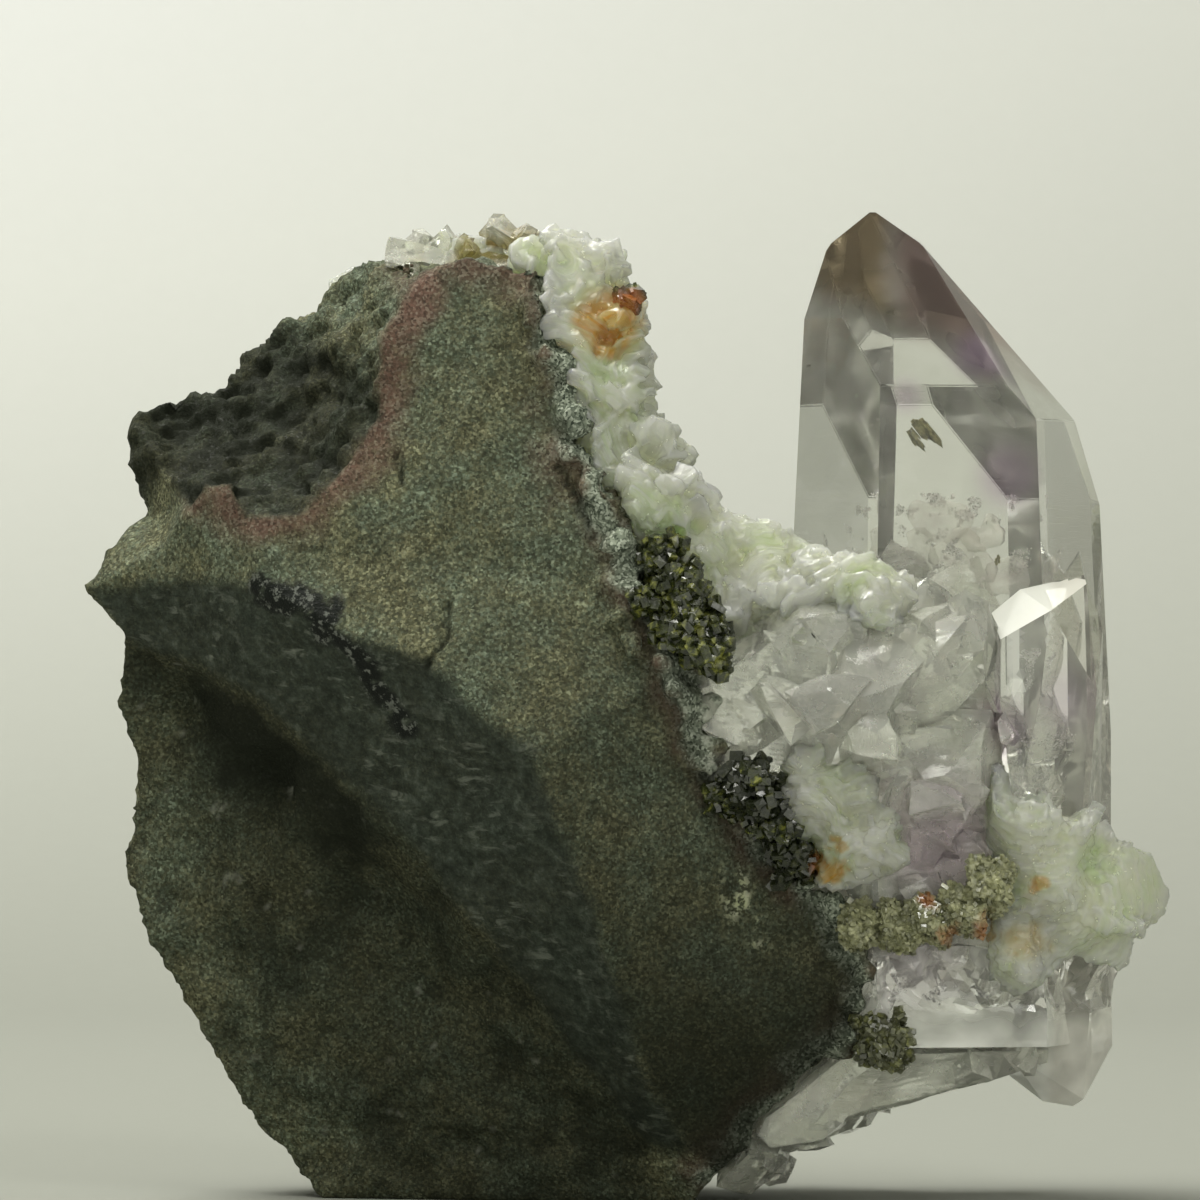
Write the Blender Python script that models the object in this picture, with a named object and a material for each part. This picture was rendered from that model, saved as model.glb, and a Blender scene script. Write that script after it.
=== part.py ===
"""Amethyst with prehnite and epidote on basalt: a hand-sized mineral specimen.

A wedge of basalt stands on its flat broken underside. The wall of an old gas cavity, its
right and back side, carries crusts of prehnite and quartz, small clusters of epidote and one
tall amethyst crystal. X runs to the right, Y away from the viewer and Z up; the origin is
in the middle of the footprint, at the level that the specimen rests on.

All sizes here are in millimetres, and MM turns them into metres. The pieces are drawn around
the basalt, and each is moved so that the middle of the footprint is the origin.
"""

import math
import random

import bmesh
import bpy
from mathutils import Matrix, Vector, noise
from mathutils.geometry import delaunay_2d_cdt

MM = 0.001
GAP = 0.3                   # clearance between neighbouring pieces
SHORTEST_EDGES = (0.06, 0.03, 0.01)     # shorter edges are collapsed, if that is safe
SLIVER = 0.04               # shortest edge of a single crystal
SAME_PLACE = 0.002          # points closer than this count as one
NUDGE = 0.03                # crystals that meet too neatly are moved apart by this
ATTEMPTS = 6

# The middle of the footprint, in the frame that the pieces are drawn in
FOOTPRINT_CENTRE = Vector((0.37, 2.09, 0.0))

# Driving dimensions of the basalt
ROCK_EDGE = 5.0             # longest mesh edge on the broken surfaces
ROCK_GRAIN = 0.45           # depth of the fracture relief
BASE_RELIEF_START = 0.2     # relief fades out between these two heights above the base
BASE_RELIEF_FULL = 3.0
ROCK_CLEARANCE = 0.6        # what grows on the basalt is cut about this far from it
GUARD_VOXEL = 0.9           # detail of the surface that cuts it
GUARD_SHARE = 0.07          # share of that surface's faces that is kept

# Driving dimensions of the main crystal
AXIS_X = 18.7
AXIS_Y = 0.7
CRYSTAL_SPIN = 8.9          # turn of the front prism face to the right, degrees
RHOMB_TILT = 51.8           # slope of quartz's rhombohedral faces, degrees
STEEP_TILT = 74.3           # slope of the steep faces under the tip's left side
FLARE_TILT = 87.5           # the prism widens slightly downwards
FLARE_LEVEL = 46.0          # height at which the prism's half widths are given
FLARE_LIMIT = 0.85          # how much it widens in all
STEEP_LEVEL = 54.4          # height at which the steep faces end under the tip
TIP_HEIGHT = 56.14
CRYSTAL_FOOT = 9.0
# Distance of each prism face and of the tip face over it from the axis, from the front
# face round by the right to the left one
PRISM_REACH = [8.01, 7.12, 8.12, 9.28, 6.58, 8.57]
TIP_REACH = [34.83, 33.03, 30.04, 35.15, 37.71, 39.27]
TIP_EXTRA_TILT = {2: 2.3}   # this tip face is a little steeper than the others
STEEP_REACH = {4: 5.19, 5: 7.18}

# Sizes of the small crystals
BLADE_THICKNESS = 0.9
EPIDOTE_LENGTH = 2.3
EPIDOTE_WIDTH = 0.95


# Scene and materials

def clear_scene():
    for item in list(bpy.data.objects):
        bpy.data.objects.remove(item, do_unlink=True)


def plain_material(name, colour, roughness, transmission=0.0):
    material = bpy.data.materials.new(name)
    material.use_nodes = True
    shader = material.node_tree.nodes["Principled BSDF"]
    shader.inputs["Base Color"].default_value = (*colour, 1.0)
    shader.inputs["Roughness"].default_value = roughness
    shader.inputs["Metallic"].default_value = 0.0
    shader.inputs["Transmission Weight"].default_value = transmission
    shader.inputs["IOR"].default_value = 1.54
    return material


# Convex bodies, the building blocks of every crystal

def cut_block(planes, half=45.0, centre=(0.0, 0.0, 0.0)):
    """A block cut by half spaces, each a point and an outward normal."""
    bm = bmesh.new()
    bmesh.ops.create_cube(bm, size=2 * half, matrix=Matrix.Translation(centre))
    for point, normal in planes:
        parts = bm.verts[:] + bm.edges[:] + bm.faces[:]
        cut = bmesh.ops.bisect_plane(bm, geom=parts, dist=1e-5, plane_co=point, plane_no=normal,
                                     clear_outer=True)
        rim = [part for part in cut["geom_cut"] if isinstance(part, bmesh.types.BMEdge)]
        if len(rim) > 2:
            bmesh.ops.contextual_create(bm, geom=rim)
    bmesh.ops.remove_doubles(bm, verts=bm.verts[:], dist=SLIVER)
    bmesh.ops.recalc_face_normals(bm, faces=bm.faces[:])
    return bm


def hull(points):
    """The convex body through a few corner points."""
    bm = bmesh.new()
    corners = [bm.verts.new(point) for point in points]
    made = bmesh.ops.convex_hull(bm, input=corners)
    loose = [part for part in made["geom_interior"] + made["geom_unused"]
             if isinstance(part, bmesh.types.BMVert)]
    bmesh.ops.delete(bm, geom=list(set(loose)), context="VERTS")
    bmesh.ops.dissolve_limit(bm, angle_limit=math.radians(1.0), verts=bm.verts[:],
                             edges=bm.edges[:])
    bmesh.ops.recalc_face_normals(bm, faces=bm.faces[:])
    return bm


def face_planes(bm, outward=0.0):
    """The planes of a convex body's faces, moved out by a distance."""
    bm.normal_update()
    return [(face.calc_center_median() + face.normal * outward, face.normal.copy())
            for face in bm.faces]


def grown(bm, outward):
    centre = sum((vert.co for vert in bm.verts), Vector()) / len(bm.verts)
    return cut_block(face_planes(bm, outward), centre=centre)


def aligned(axis, spin=0.0):
    """A rotation that takes +Z to an axis, after a spin about it in degrees."""
    turn = Vector((0.0, 0.0, 1.0)).rotation_difference(Vector(axis).normalized())
    return turn.to_matrix() @ Matrix.Rotation(math.radians(spin), 3, "Z")


def polar(azimuth, tilt):
    """Outward normal of a face that faces an azimuth and slopes by a tilt, in degrees."""
    up = math.cos(math.radians(tilt))
    out = math.sin(math.radians(tilt))
    turn = math.radians(azimuth)
    return Vector((out * math.cos(turn), out * math.sin(turn), up))


def quartz_point(foot, tip, width, spin=0.0, blunt=0.25, seed=1):
    """A six-sided crystal from its foot to its tip, ended by six uneven sloping faces."""
    rng = random.Random(seed)
    foot = Vector(foot)
    length = (Vector(tip) - foot).length
    turn = aligned(Vector(tip) - foot, spin)
    planes = [(foot, turn @ Vector((0.0, 0.0, -1.0)))]
    for index in range(6):
        azimuth = 60.0 * index
        side = width / 2 * rng.uniform(0.82, 1.0)
        planes.append((foot + turn @ (polar(azimuth, 90.0) * side),
                       turn @ polar(azimuth, 90.0)))
        drop = blunt * width * (rng.uniform(0.0, 0.25) if index % 2 else rng.uniform(0.3, 1.0))
        planes.append((foot + turn @ Vector((0.0, 0.0, length + drop)),
                       turn @ polar(azimuth, RHOMB_TILT)))
    return cut_block(planes, centre=foot)


def chunk(centre, size, seed, squash=(1.0, 1.0, 1.0), cuts=9):
    """An angular broken lump."""
    rng = random.Random(seed)
    planes = []
    for index in range(cuts):
        height = 1.0 - 2.0 * (index + 0.5) / cuts
        turn = index * 2.399963 + rng.uniform(-0.4, 0.4)
        flat = math.sqrt(1.0 - height * height)
        normal = Vector((flat * math.cos(turn), flat * math.sin(turn), height))
        reach = 0.5 * size * rng.uniform(0.78, 1.0)
        point = Vector([normal[axis] * reach * squash[axis] for axis in range(3)])
        lean = Vector([normal[axis] / squash[axis] for axis in range(3)]).normalized()
        planes.append((Vector(centre) + point, lean))
    return cut_block(planes, half=0.62 * size * max(squash), centre=centre)


def blade(root, tip, width, thickness, spin):
    """A flat crystal that widens from its root to a chisel end."""
    root = Vector(root)
    length = (Vector(tip) - root).length
    turn = aligned(Vector(tip) - root, spin)

    def place(x, y, z):
        return root + turn @ Vector((x, y, z))

    foot = 0.45
    corners = []
    for side in (-1.0, 1.0):
        for edge in (-1.0, 1.0):
            corners.append(place(side * width / 2 * foot, edge * thickness / 2, 0.0))
            corners.append(place(side * width / 2, edge * thickness / 2, 0.72 * length))
        corners.append(place(side * width * 0.3, 0.0, length * (1.0 if side > 0 else 0.93)))
    return hull(corners)


def fan(centre, direction, count, length, width, seed, spread=38.0):
    """Blades that spread from one point."""
    rng = random.Random(seed)
    turn = aligned(direction)
    blades = []
    for index in range(count):
        lean = math.radians(spread * (2.0 * (index + 0.5) / count - 1.0))
        sway = math.radians(rng.uniform(-14.0, 14.0))
        ray = turn @ Vector((math.sin(lean), math.sin(sway), math.cos(lean)))
        reach = length * rng.uniform(0.8, 1.1)
        tip = Vector(centre) + ray.normalized() * reach
        blades.append(blade(centre, tip, width * rng.uniform(0.8, 1.2),
                            BLADE_THICKNESS * rng.uniform(0.8, 1.3), rng.uniform(0, 180)))
    return blades


def prism_spray(centre, size, count, seed, length=EPIDOTE_LENGTH, squash=(1.0, 1.0, 1.0)):
    """A knot of short slanting prisms around an angular core."""
    rng = random.Random(seed)
    bodies = [chunk(centre, size, seed + 50, squash, cuts=8)]
    for index in range(count):
        height = 1.0 - 2.0 * (index + 0.5) / count
        turn = index * 2.399963 + rng.uniform(-0.5, 0.5)
        flat = math.sqrt(1.0 - height * height)
        ray = Vector((flat * math.cos(turn) * squash[0], flat * math.sin(turn) * squash[1],
                      height * squash[2]))
        start = Vector(centre) + ray * size * 0.22
        tip = start + ray.normalized() * (size * 0.24 + length * rng.uniform(0.25, 0.6))
        bodies.append(epidote_prism(start, tip, EPIDOTE_WIDTH * rng.uniform(0.8, 1.5),
                                    rng.uniform(0, 180)))
    return bodies


def epidote_prism(foot, tip, width, spin):
    """A four-sided prism with a slanting end."""
    foot = Vector(foot)
    length = (Vector(tip) - foot).length
    turn = aligned(Vector(tip) - foot, spin)
    planes = [(foot, turn @ Vector((0.0, 0.0, -1.0))),
              (foot + turn @ Vector((0.0, 0.0, length)), turn @ polar(20.0, 28.0)),
              (foot + turn @ Vector((0.0, 0.0, length)), turn @ polar(200.0, 47.0))]
    for azimuth, reach in ((0, 0.5), (72, 0.4), (180, 0.5), (252, 0.4)):
        normal = turn @ polar(azimuth, 90.0)
        planes.append((foot + normal * width * reach, normal))
    return cut_block(planes, half=4 * width + length, centre=foot)


# Joining and cutting

def mesh_object(name, bm, unit=MM):
    mesh = bpy.data.meshes.new(name)
    bmesh.ops.transform(bm, matrix=Matrix.Scale(unit, 4), verts=bm.verts[:])
    bm.to_mesh(mesh)
    bm.free()
    item = bpy.data.objects.new(name, mesh)
    bpy.context.scene.collection.objects.link(item)
    return item


def apply_boolean(item, operation, bodies):
    """Join closed bodies to an object, or cut them from it, and keep the result."""
    tools = bpy.data.collections.new("tools")
    bpy.context.scene.collection.children.link(tools)
    for number, bm in enumerate(bodies):
        tool = mesh_object(f"tool_{number}", bm)
        bpy.context.scene.collection.objects.unlink(tool)
        tools.objects.link(tool)
    step = item.modifiers.new(operation.lower(), "BOOLEAN")
    step.operation = operation
    step.operand_type = "COLLECTION"
    step.collection = tools
    step.solver = "EXACT"
    bpy.context.view_layer.update()
    result = bpy.data.meshes.new_from_object(item.evaluated_get(
        bpy.context.evaluated_depsgraph_get()))
    item.modifiers.remove(step)
    item.data = result
    for tool in list(tools.objects):
        bpy.data.objects.remove(tool, do_unlink=True)
    bpy.data.collections.remove(tools)


def is_closed(bm):
    """Whether a mesh stays one closed surface when its closest points are merged."""
    test = bm.copy()
    bmesh.ops.remove_doubles(test, verts=test.verts[:], dist=SAME_PLACE * MM)
    closed = all(len(edge.link_faces) == 2 for edge in test.edges)
    test.free()
    return closed


def collapse_short(bm, shortest):
    """Collapse short edges wherever the surface stays closed."""
    for edge in sorted(bm.edges, key=lambda edge: edge.calc_length()):
        if not edge.is_valid or edge.calc_length() > shortest:
            continue
        first, second = edge.verts
        around = [{other.other_vert(vert) for other in vert.link_edges}
                  for vert in (first, second)]
        if len(around[0] & around[1]) == 2:
            bmesh.ops.pointmerge(bm, verts=[first, second],
                                 merge_co=(first.co + second.co) / 2)


def tidy_mesh(item):
    """Collapse tiny edges, drop loose crumbs and leave plain triangles; tell if that worked."""
    for shortest in SHORTEST_EDGES:
        bm = bmesh.new()
        bm.from_mesh(item.data)
        bmesh.ops.remove_doubles(bm, verts=bm.verts[:], dist=1e-4 * MM)
        bmesh.ops.triangulate(bm, faces=bm.faces[:])
        keep_largest(bm)
        collapse_short(bm, shortest * MM)
        bmesh.ops.recalc_face_normals(bm, faces=bm.faces[:])
        closed = is_closed(bm)
        if closed or shortest == SHORTEST_EDGES[-1]:
            bm.to_mesh(item.data)
        bm.free()
        if closed:
            return True
    return False


def keep_largest(bm):
    """Keep the largest body, of those whose faces join along edges."""
    waiting = set(bm.faces)
    groups = []
    while waiting:
        stack = [waiting.pop()]
        group = set(stack)
        while stack:
            for edge in stack.pop().edges:
                for face in edge.link_faces:
                    if face in waiting:
                        waiting.remove(face)
                        group.add(face)
                        stack.append(face)
        groups.append(group)
    groups.sort(key=lambda group: sum(face.calc_area() for face in group))
    crumbs = [face for group in groups[:-1] for face in group]
    bmesh.ops.delete(bm, geom=crumbs, context="FACES")


def extent(bodies):
    places = [vert.co for bm in bodies for vert in bm.verts]
    return [(min(place[axis] for place in places), max(place[axis] for place in places))
            for axis in range(3)]


def meet(first, second):
    return all(low <= other_high and other_low <= high
               for (low, high), (other_low, other_high) in zip(first, second))


def nudged(bm, attempt, rng):
    """A copy, moved by a hair on each attempt after the first."""
    copy = bm.copy()
    shift = Vector([rng.uniform(-NUDGE, NUDGE) * min(attempt, 1) for _ in range(3)])
    bmesh.ops.translate(copy, vec=shift, verts=copy.verts[:])
    return copy


def grown_together(name, bodies, material, guards):
    """One piece from overlapping convex bodies, cut clear of its neighbours."""
    reach = extent(bodies)
    near = [guard for guard in guards if meet(extent([guard]), reach)]
    for attempt in range(ATTEMPTS):
        rng = random.Random(attempt)
        copies = [nudged(body, attempt, rng) for body in bodies]
        item = mesh_object(name, copies[0])
        apply_boolean(item, "UNION", copies[1:])
        if near:
            apply_boolean(item, "DIFFERENCE", [guard.copy() for guard in near])
        if tidy_mesh(item):
            break
        if attempt < ATTEMPTS - 1:
            bpy.data.objects.remove(item, do_unlink=True)
    item.name = name
    item.data.name = name
    item.data.materials.clear()
    item.data.materials.append(material)
    to_origin(item)
    return item


def to_origin(item):
    """Move a piece from the drawing frame to the object's own frame."""
    item.data.transform(Matrix.Translation(-FOOTPRINT_CENTRE * MM))


# Basalt

# Each rim point is x, y, z. The front rim follows the outline, the far rim lies behind it.
SKYLINE = [
    (-30.1, -1.0, 34.7), (-28.4, 0.0, 38.0), (-27.1, 1.0, 39.2), (-27.7, 2.0, 40.9),
    (-27.6, 3.0, 44.3), (-26.0, 4.0, 45.3), (-23.5, 5.0, 46.2), (-21.5, 6.0, 47.7),
    (-19.6, 6.0, 49.3), (-17.1, 6.0, 51.3), (-14.4, 4.0, 52.9), (-11.7, 2.0, 53.6)]
TOP_EDGE = [
    (-11.2, -5.0, 52.6), (-8.9, -5.5, 53.2), (-7.0, -5.5, 53.2), (-5.3, -6.0, 52.7),
    (-4.0, -6.0, 51.9)]
CAVITY_EDGE = [
    (-3.4, -6.5, 48.6), (-3.2, -7.0, 45.6), (-2.8, -7.5, 43.0), (-1.4, -8.0, 41.8),
    (-0.9, -8.5, 38.9), (1.1, -9.0, 35.9), (2.4, -9.5, 33.2), (3.7, -10.0, 30.6),
    (4.6, -10.0, 27.4), (5.3, -10.0, 24.6), (8.0, -9.5, 21.3), (10.2, -9.0, 18.4),
    (12.2, -8.5, 15.9), (13.7, -8.0, 13.0), (13.3, -7.5, 10.2), (11.7, -7.0, 8.7),
    (9.9, -6.5, 6.9), (7.9, -6.0, 5.0), (7.6, -6.0, 3.3), (5.8, -5.0, 1.7)]
BASE_EDGE = [(4.2, -4.2, 0.0), (-17.0, 1.5, 0.0)]
LEFT_EDGE = [
    (-19.0, 2.6, 2.4), (-20.5, 3.0, 3.4), (-22.6, 2.0, 7.0), (-25.0, 2.0, 11.3),
    (-26.6, 2.0, 15.0), (-27.8, 2.0, 17.6), (-28.5, 2.0, 19.2), (-28.0, 2.0, 21.8),
    (-27.6, 1.5, 25.2), (-28.5, 0.5, 28.2), (-28.2, -0.6, 32.1)]

# Where each stretch's far rim lies: depth at its two ends, and the shift in x and z
FAR_SKYLINE = ((10.5, 3.0, 0.0), (14.0, -2.0, -2.5))
FAR_TOP = ((13.5, -4.0, -2.0), (14.5, -8.5, -4.0))
FAR_CAVITY = ((15.0, -9.5, -3.0), (12.5, -3.5, 1.0))
FAR_BASE = ((12.8, -2.0, 0.0), (13.0, 1.0, 0.0))
FAR_LEFT = ((13.2, 2.5, 0.6), (11.0, 3.5, -1.0))

# Ridges and hollows of the front
FACET_RIM = [
    (-12.1, -6.0, 51.3), (-13.4, -6.5, 48.4), (-13.5, -7.0, 44.4), (-15.9, -7.5, 41.2),
    (-17.9, -7.3, 39.0), (-20.9, -6.8, 38.8), (-21.8, -6.0, 40.7), (-23.1, -5.5, 40.7),
    (-24.4, -4.5, 39.4), (-25.9, -1.5, 41.4)]
SLIP_TOP = [
    (-24.2, -4.0, 35.2), (-19.5, -8.0, 34.7), (-15.0, -10.0, 31.9), (-10.5, -11.5, 30.8),
    (-7.7, -12.5, 27.7), (-4.6, -13.0, 25.5), (-3.2, -12.5, 21.3), (-1.6, -11.5, 17.4),
    (0.1, -9.5, 11.7), (1.8, -7.5, 7.1), (4.1, -5.5, 3.1)]
SLIP_FOOT = [
    (-22.5, -3.5, 29.6), (-17.9, -5.0, 26.2), (-12.3, -6.5, 21.2), (-8.3, -6.5, 16.1),
    (-4.4, -5.6, 11.5), (-1.0, -5.0, 7.0), (1.6, -4.6, 3.4)]
FACE_RIDGE = [(-2.1, -12.3, 27.1), (1.2, -11.2, 28.8)]
UNDERCUT = [
    (-24.6, 0.6, 28.6), (-19.5, -1.0, 24.6), (-22.6, -0.6, 25.6), (-17.8, -2.4, 22.0),
    (-13.0, -2.2, 17.6), (-21.0, 0.2, 17.0), (-9.2, -2.2, 12.0), (-16.0, -0.2, 10.5),
    (-6.0, -2.6, 6.5), (-12.5, -0.4, 4.5), (-18.0, 1.0, 6.5)]
SCOOP = [
    (-15.8, -0.5, 45.8), (-18.0, -1.8, 42.6), (-20.8, -2.2, 42.0), (-18.2, 3.0, 47.0),
    (-22.0, 2.0, 44.4), (-24.6, 1.2, 43.2), (-14.4, -1.5, 49.6), (-25.8, -3.0, 37.0)]
FACET_SWELL = [
    (-8.5, -7.4, 46.0), (-9.0, -9.0, 40.0), (-4.0, -9.6, 36.0), (-12.0, -9.2, 36.0),
    (-18.0, -7.6, 36.6), (4.6, -10.8, 20.0), (5.6, -9.2, 11.5)]
FAR_SWELL = [
    (-16.0, 17.0, 36.0), (-19.0, 16.0, 22.0), (-10.0, 18.0, 26.0), (-12.0, 16.0, 10.0),
    (-2.0, 15.5, 14.0), (-14.5, 15.5, 44.0)]


def far_rim(stretch, ends):
    """A stretch's far rim, shifted by values that run from one end to the other."""
    points = []
    for index, (x, _, z) in enumerate(stretch):
        along = index / (len(stretch) - 1)
        depth, shift_x, shift_z = [start + (end - start) * along
                                   for start, end in zip(*ends)]
        wobble = noise.noise(Vector((x, 7.0, z)) * 0.31)
        points.append((x + shift_x + wobble, depth + 1.6 * wobble, max(0.0, z + shift_z)))
    return points


def sheet(rim, inner, chains):
    """Triangles across an outline, through inner points and along chains of them."""
    points = rim + inner
    flat = [Vector((x, z)) for x, _, z in points]
    _, _, faces, origin, _, _ = delaunay_2d_cdt(flat, chains, [list(range(len(rim)))], 1, 1e-6)
    return [[origin[corner][0] for corner in face] for face in faces]


def chain_edges(points, chain):
    places = [points.index(point) for point in chain]
    return list(zip(places, places[1:]))


def basalt_body():
    front = SKYLINE + TOP_EDGE + CAVITY_EDGE + BASE_EDGE + LEFT_EDGE
    far = []
    for stretch, ends in ((SKYLINE, FAR_SKYLINE), (TOP_EDGE, FAR_TOP), (CAVITY_EDGE, FAR_CAVITY),
                          (BASE_EDGE, FAR_BASE), (LEFT_EDGE, FAR_LEFT)):
        far += far_rim(stretch, ends)
    inner = FACET_RIM + SLIP_TOP + SLIP_FOOT + FACE_RIDGE + UNDERCUT + SCOOP + FACET_SWELL
    points = front + inner
    chains = []
    for chain in ([TOP_EDGE[0]] + FACET_RIM + [SKYLINE[3]], [SKYLINE[0]] + SLIP_TOP + [BASE_EDGE[0]],
                  [LEFT_EDGE[-1]] + SLIP_FOOT, [SLIP_TOP[5]] + FACE_RIDGE + [CAVITY_EDGE[7]]):
        chains += chain_edges(points, chain)

    bm = bmesh.new()
    near_verts = [bm.verts.new(point) for point in points]
    far_verts = [bm.verts.new(point) for point in far + FAR_SWELL]
    for corners in sheet(front, inner, chains):
        bm.faces.new([near_verts[corner] for corner in corners])
    for corners in sheet(far, FAR_SWELL, []):
        bm.faces.new([far_verts[corner] for corner in reversed(corners)])
    for index in range(len(front)):
        after = (index + 1) % len(front)
        bm.faces.new((near_verts[index], near_verts[after], far_verts[after], far_verts[index]))
    bmesh.ops.triangulate(bm, faces=bm.faces[:])
    bmesh.ops.recalc_face_normals(bm, faces=bm.faces[:])
    return bm


def refine(bm, longest):
    """Halve every edge that is longer than a length, except around the flat base."""
    for _ in range(6):
        edges = [edge for edge in bm.edges if edge.calc_length() > longest
                 and max(vert.co.z for vert in edge.verts) > SAME_PLACE]
        if not edges:
            break
        bmesh.ops.subdivide_edges(bm, edges=edges, cuts=1)
        bmesh.ops.triangulate(bm, faces=bm.faces[:])


def fade(value, start, full):
    along = min(1.0, max(0.0, (value - start) / (full - start)))
    return along * along * (3.0 - 2.0 * along)


def roughen(bm, depth):
    """Fracture relief, rougher on the broken top left than on the sawn-looking facets."""
    bm.normal_update()
    moves = []
    for vert in bm.verts:
        place = vert.co
        broken = fade(place.y, -6.0, 1.0)
        relief = noise.fractal(place * 0.28, 0.9, 2.1, 4)
        step = noise.cell(place * 0.45) - 0.5
        amount = depth * (0.45 + 0.9 * broken) * relief + 0.5 * depth * broken * step
        moves.append((vert, vert.normal * amount * fade(place.z, BASE_RELIEF_START,
                                                        BASE_RELIEF_FULL)))
    for vert, move in moves:
        vert.co += move
        vert.co.z = max(vert.co.z, 0.0)


def rock_cutter(rock):
    """The basalt's surface, moved out a little: it cuts what grows on the basalt."""
    bm = rock.copy()
    bm.normal_update()
    moves = [(vert, vert.normal * ROCK_CLEARANCE) for vert in bm.verts]
    for vert, move in moves:
        vert.co += move
    item = mesh_object("rock_cutter", bm, unit=1.0)
    voxels = item.modifiers.new("even", "REMESH")
    voxels.mode = "VOXEL"
    voxels.voxel_size = GUARD_VOXEL
    fewer = item.modifiers.new("fewer", "DECIMATE")
    fewer.ratio = GUARD_SHARE
    bpy.context.view_layer.update()
    result = bmesh.new()
    result.from_mesh(item.evaluated_get(bpy.context.evaluated_depsgraph_get()).to_mesh())
    bpy.data.objects.remove(item, do_unlink=True)
    return result


# Quartz and amethyst

def main_crystal():
    """The tall crystal: prism, rhombohedral tip set to the left, steep left shoulder."""
    axis = Vector((AXIS_X, AXIS_Y, 0.0))
    up = Vector((0.0, 0.0, 1.0))
    planes = [(axis + up * CRYSTAL_FOOT, -up), (axis + up * TIP_HEIGHT, up)]
    for side in range(6):
        azimuth = CRYSTAL_SPIN - 90.0 + 60.0 * side
        outward = polar(azimuth, 90.0)
        slope = polar(azimuth, RHOMB_TILT + TIP_EXTRA_TILT.get(side, 0.0))
        planes.append((axis + outward * PRISM_REACH[side] + up * FLARE_LEVEL,
                       polar(azimuth, FLARE_TILT)))
        planes.append((axis + outward * (PRISM_REACH[side] + FLARE_LIMIT), outward))
        planes.append((axis + slope * TIP_REACH[side], slope))
        if side in STEEP_REACH:
            planes.append((axis + outward * STEEP_REACH[side] + up * STEEP_LEVEL,
                           polar(azimuth, STEEP_TILT)))
    return cut_block(planes, centre=(AXIS_X, AXIS_Y, 30.0))


def amethyst_bodies():
    """The main crystal, the crystals grown parallel to it and the glassy heap at its foot."""
    ledge_crystal = hull([
        (20.9, -7.7, 33.3), (22.6, -7.3, 34.7), (26.2, -6.7, 35.5), (21.4, -10.0, 31.9),
        (24.2, -9.7, 33.5), (26.3, -7.9, 35.0), (27.3, -6.4, 32.6), (26.9, -7.6, 29.0),
        (23.6, -9.6, 28.3), (21.4, -10.1, 28.3), (21.0, -5.0, 33.2), (26.4, -3.0, 35.2),
        (27.3, -3.4, 22.0), (21.5, -5.0, 20.0), (22.2, -9.6, 22.0), (26.4, -7.2, 22.0)])
    foot_tip = hull([
        (24.6, -4.6, 10.4), (26.7, -4.2, 11.6), (27.7, -1.8, 11.6), (28.1, -0.6, 8.8),
        (26.9, -1.8, 6.7), (26.4, -2.0, 5.8), (25.8, -1.8, 5.4), (24.1, -2.2, 5.7),
        (21.5, -3.2, 7.7), (22.0, -4.8, 8.6), (22.0, 4.0, 8.8), (26.0, 4.0, 9.0),
        (21.0, -3.0, 14.0), (27.9, -2.4, 15.0), (27.0, 5.0, 14.0), (20.0, 4.0, 13.0)])
    heap = [
        quartz_point((5.6, -7.0, 27.6), (14.2, -10.6, 33.8), 6.2, spin=12, seed=3),
        quartz_point((7.0, -6.4, 25.2), (17.4, -11.6, 31.0), 7.4, spin=35, seed=5),
        quartz_point((9.5, -5.0, 24.0), (20.6, -10.2, 33.6), 6.6, spin=3, seed=8),
        quartz_point((9.0, -4.6, 20.5), (19.6, -9.4, 25.6), 7.0, spin=22, seed=13),
        quartz_point((13.0, -4.0, 17.0), (20.8, -9.8, 27.6), 6.8, spin=41, seed=21),
        quartz_point((12.0, -3.6, 16.0), (18.4, -7.6, 20.4), 6.2, spin=9, seed=34),
        hull([(4.0, -9.6, 30.6), (4.6, -10.4, 27.0), (8.4, -10.6, 25.4), (9.2, -9.6, 31.2),
              (6.0, 2.0, 30.0), (5.4, 1.0, 24.0), (12.0, 1.0, 25.0), (11.0, 0.0, 32.0)])]
    behind = [quartz_point((5.0, 3.0, 22.0), (16.5, 9.0, 29.0), 6.4, spin=17, seed=55),
              quartz_point((7.0, 4.0, 14.0), (17.0, 9.6, 19.0), 7.2, spin=28, seed=89)]
    return [main_crystal(), ledge_crystal, foot_tip] + heap + behind


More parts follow.
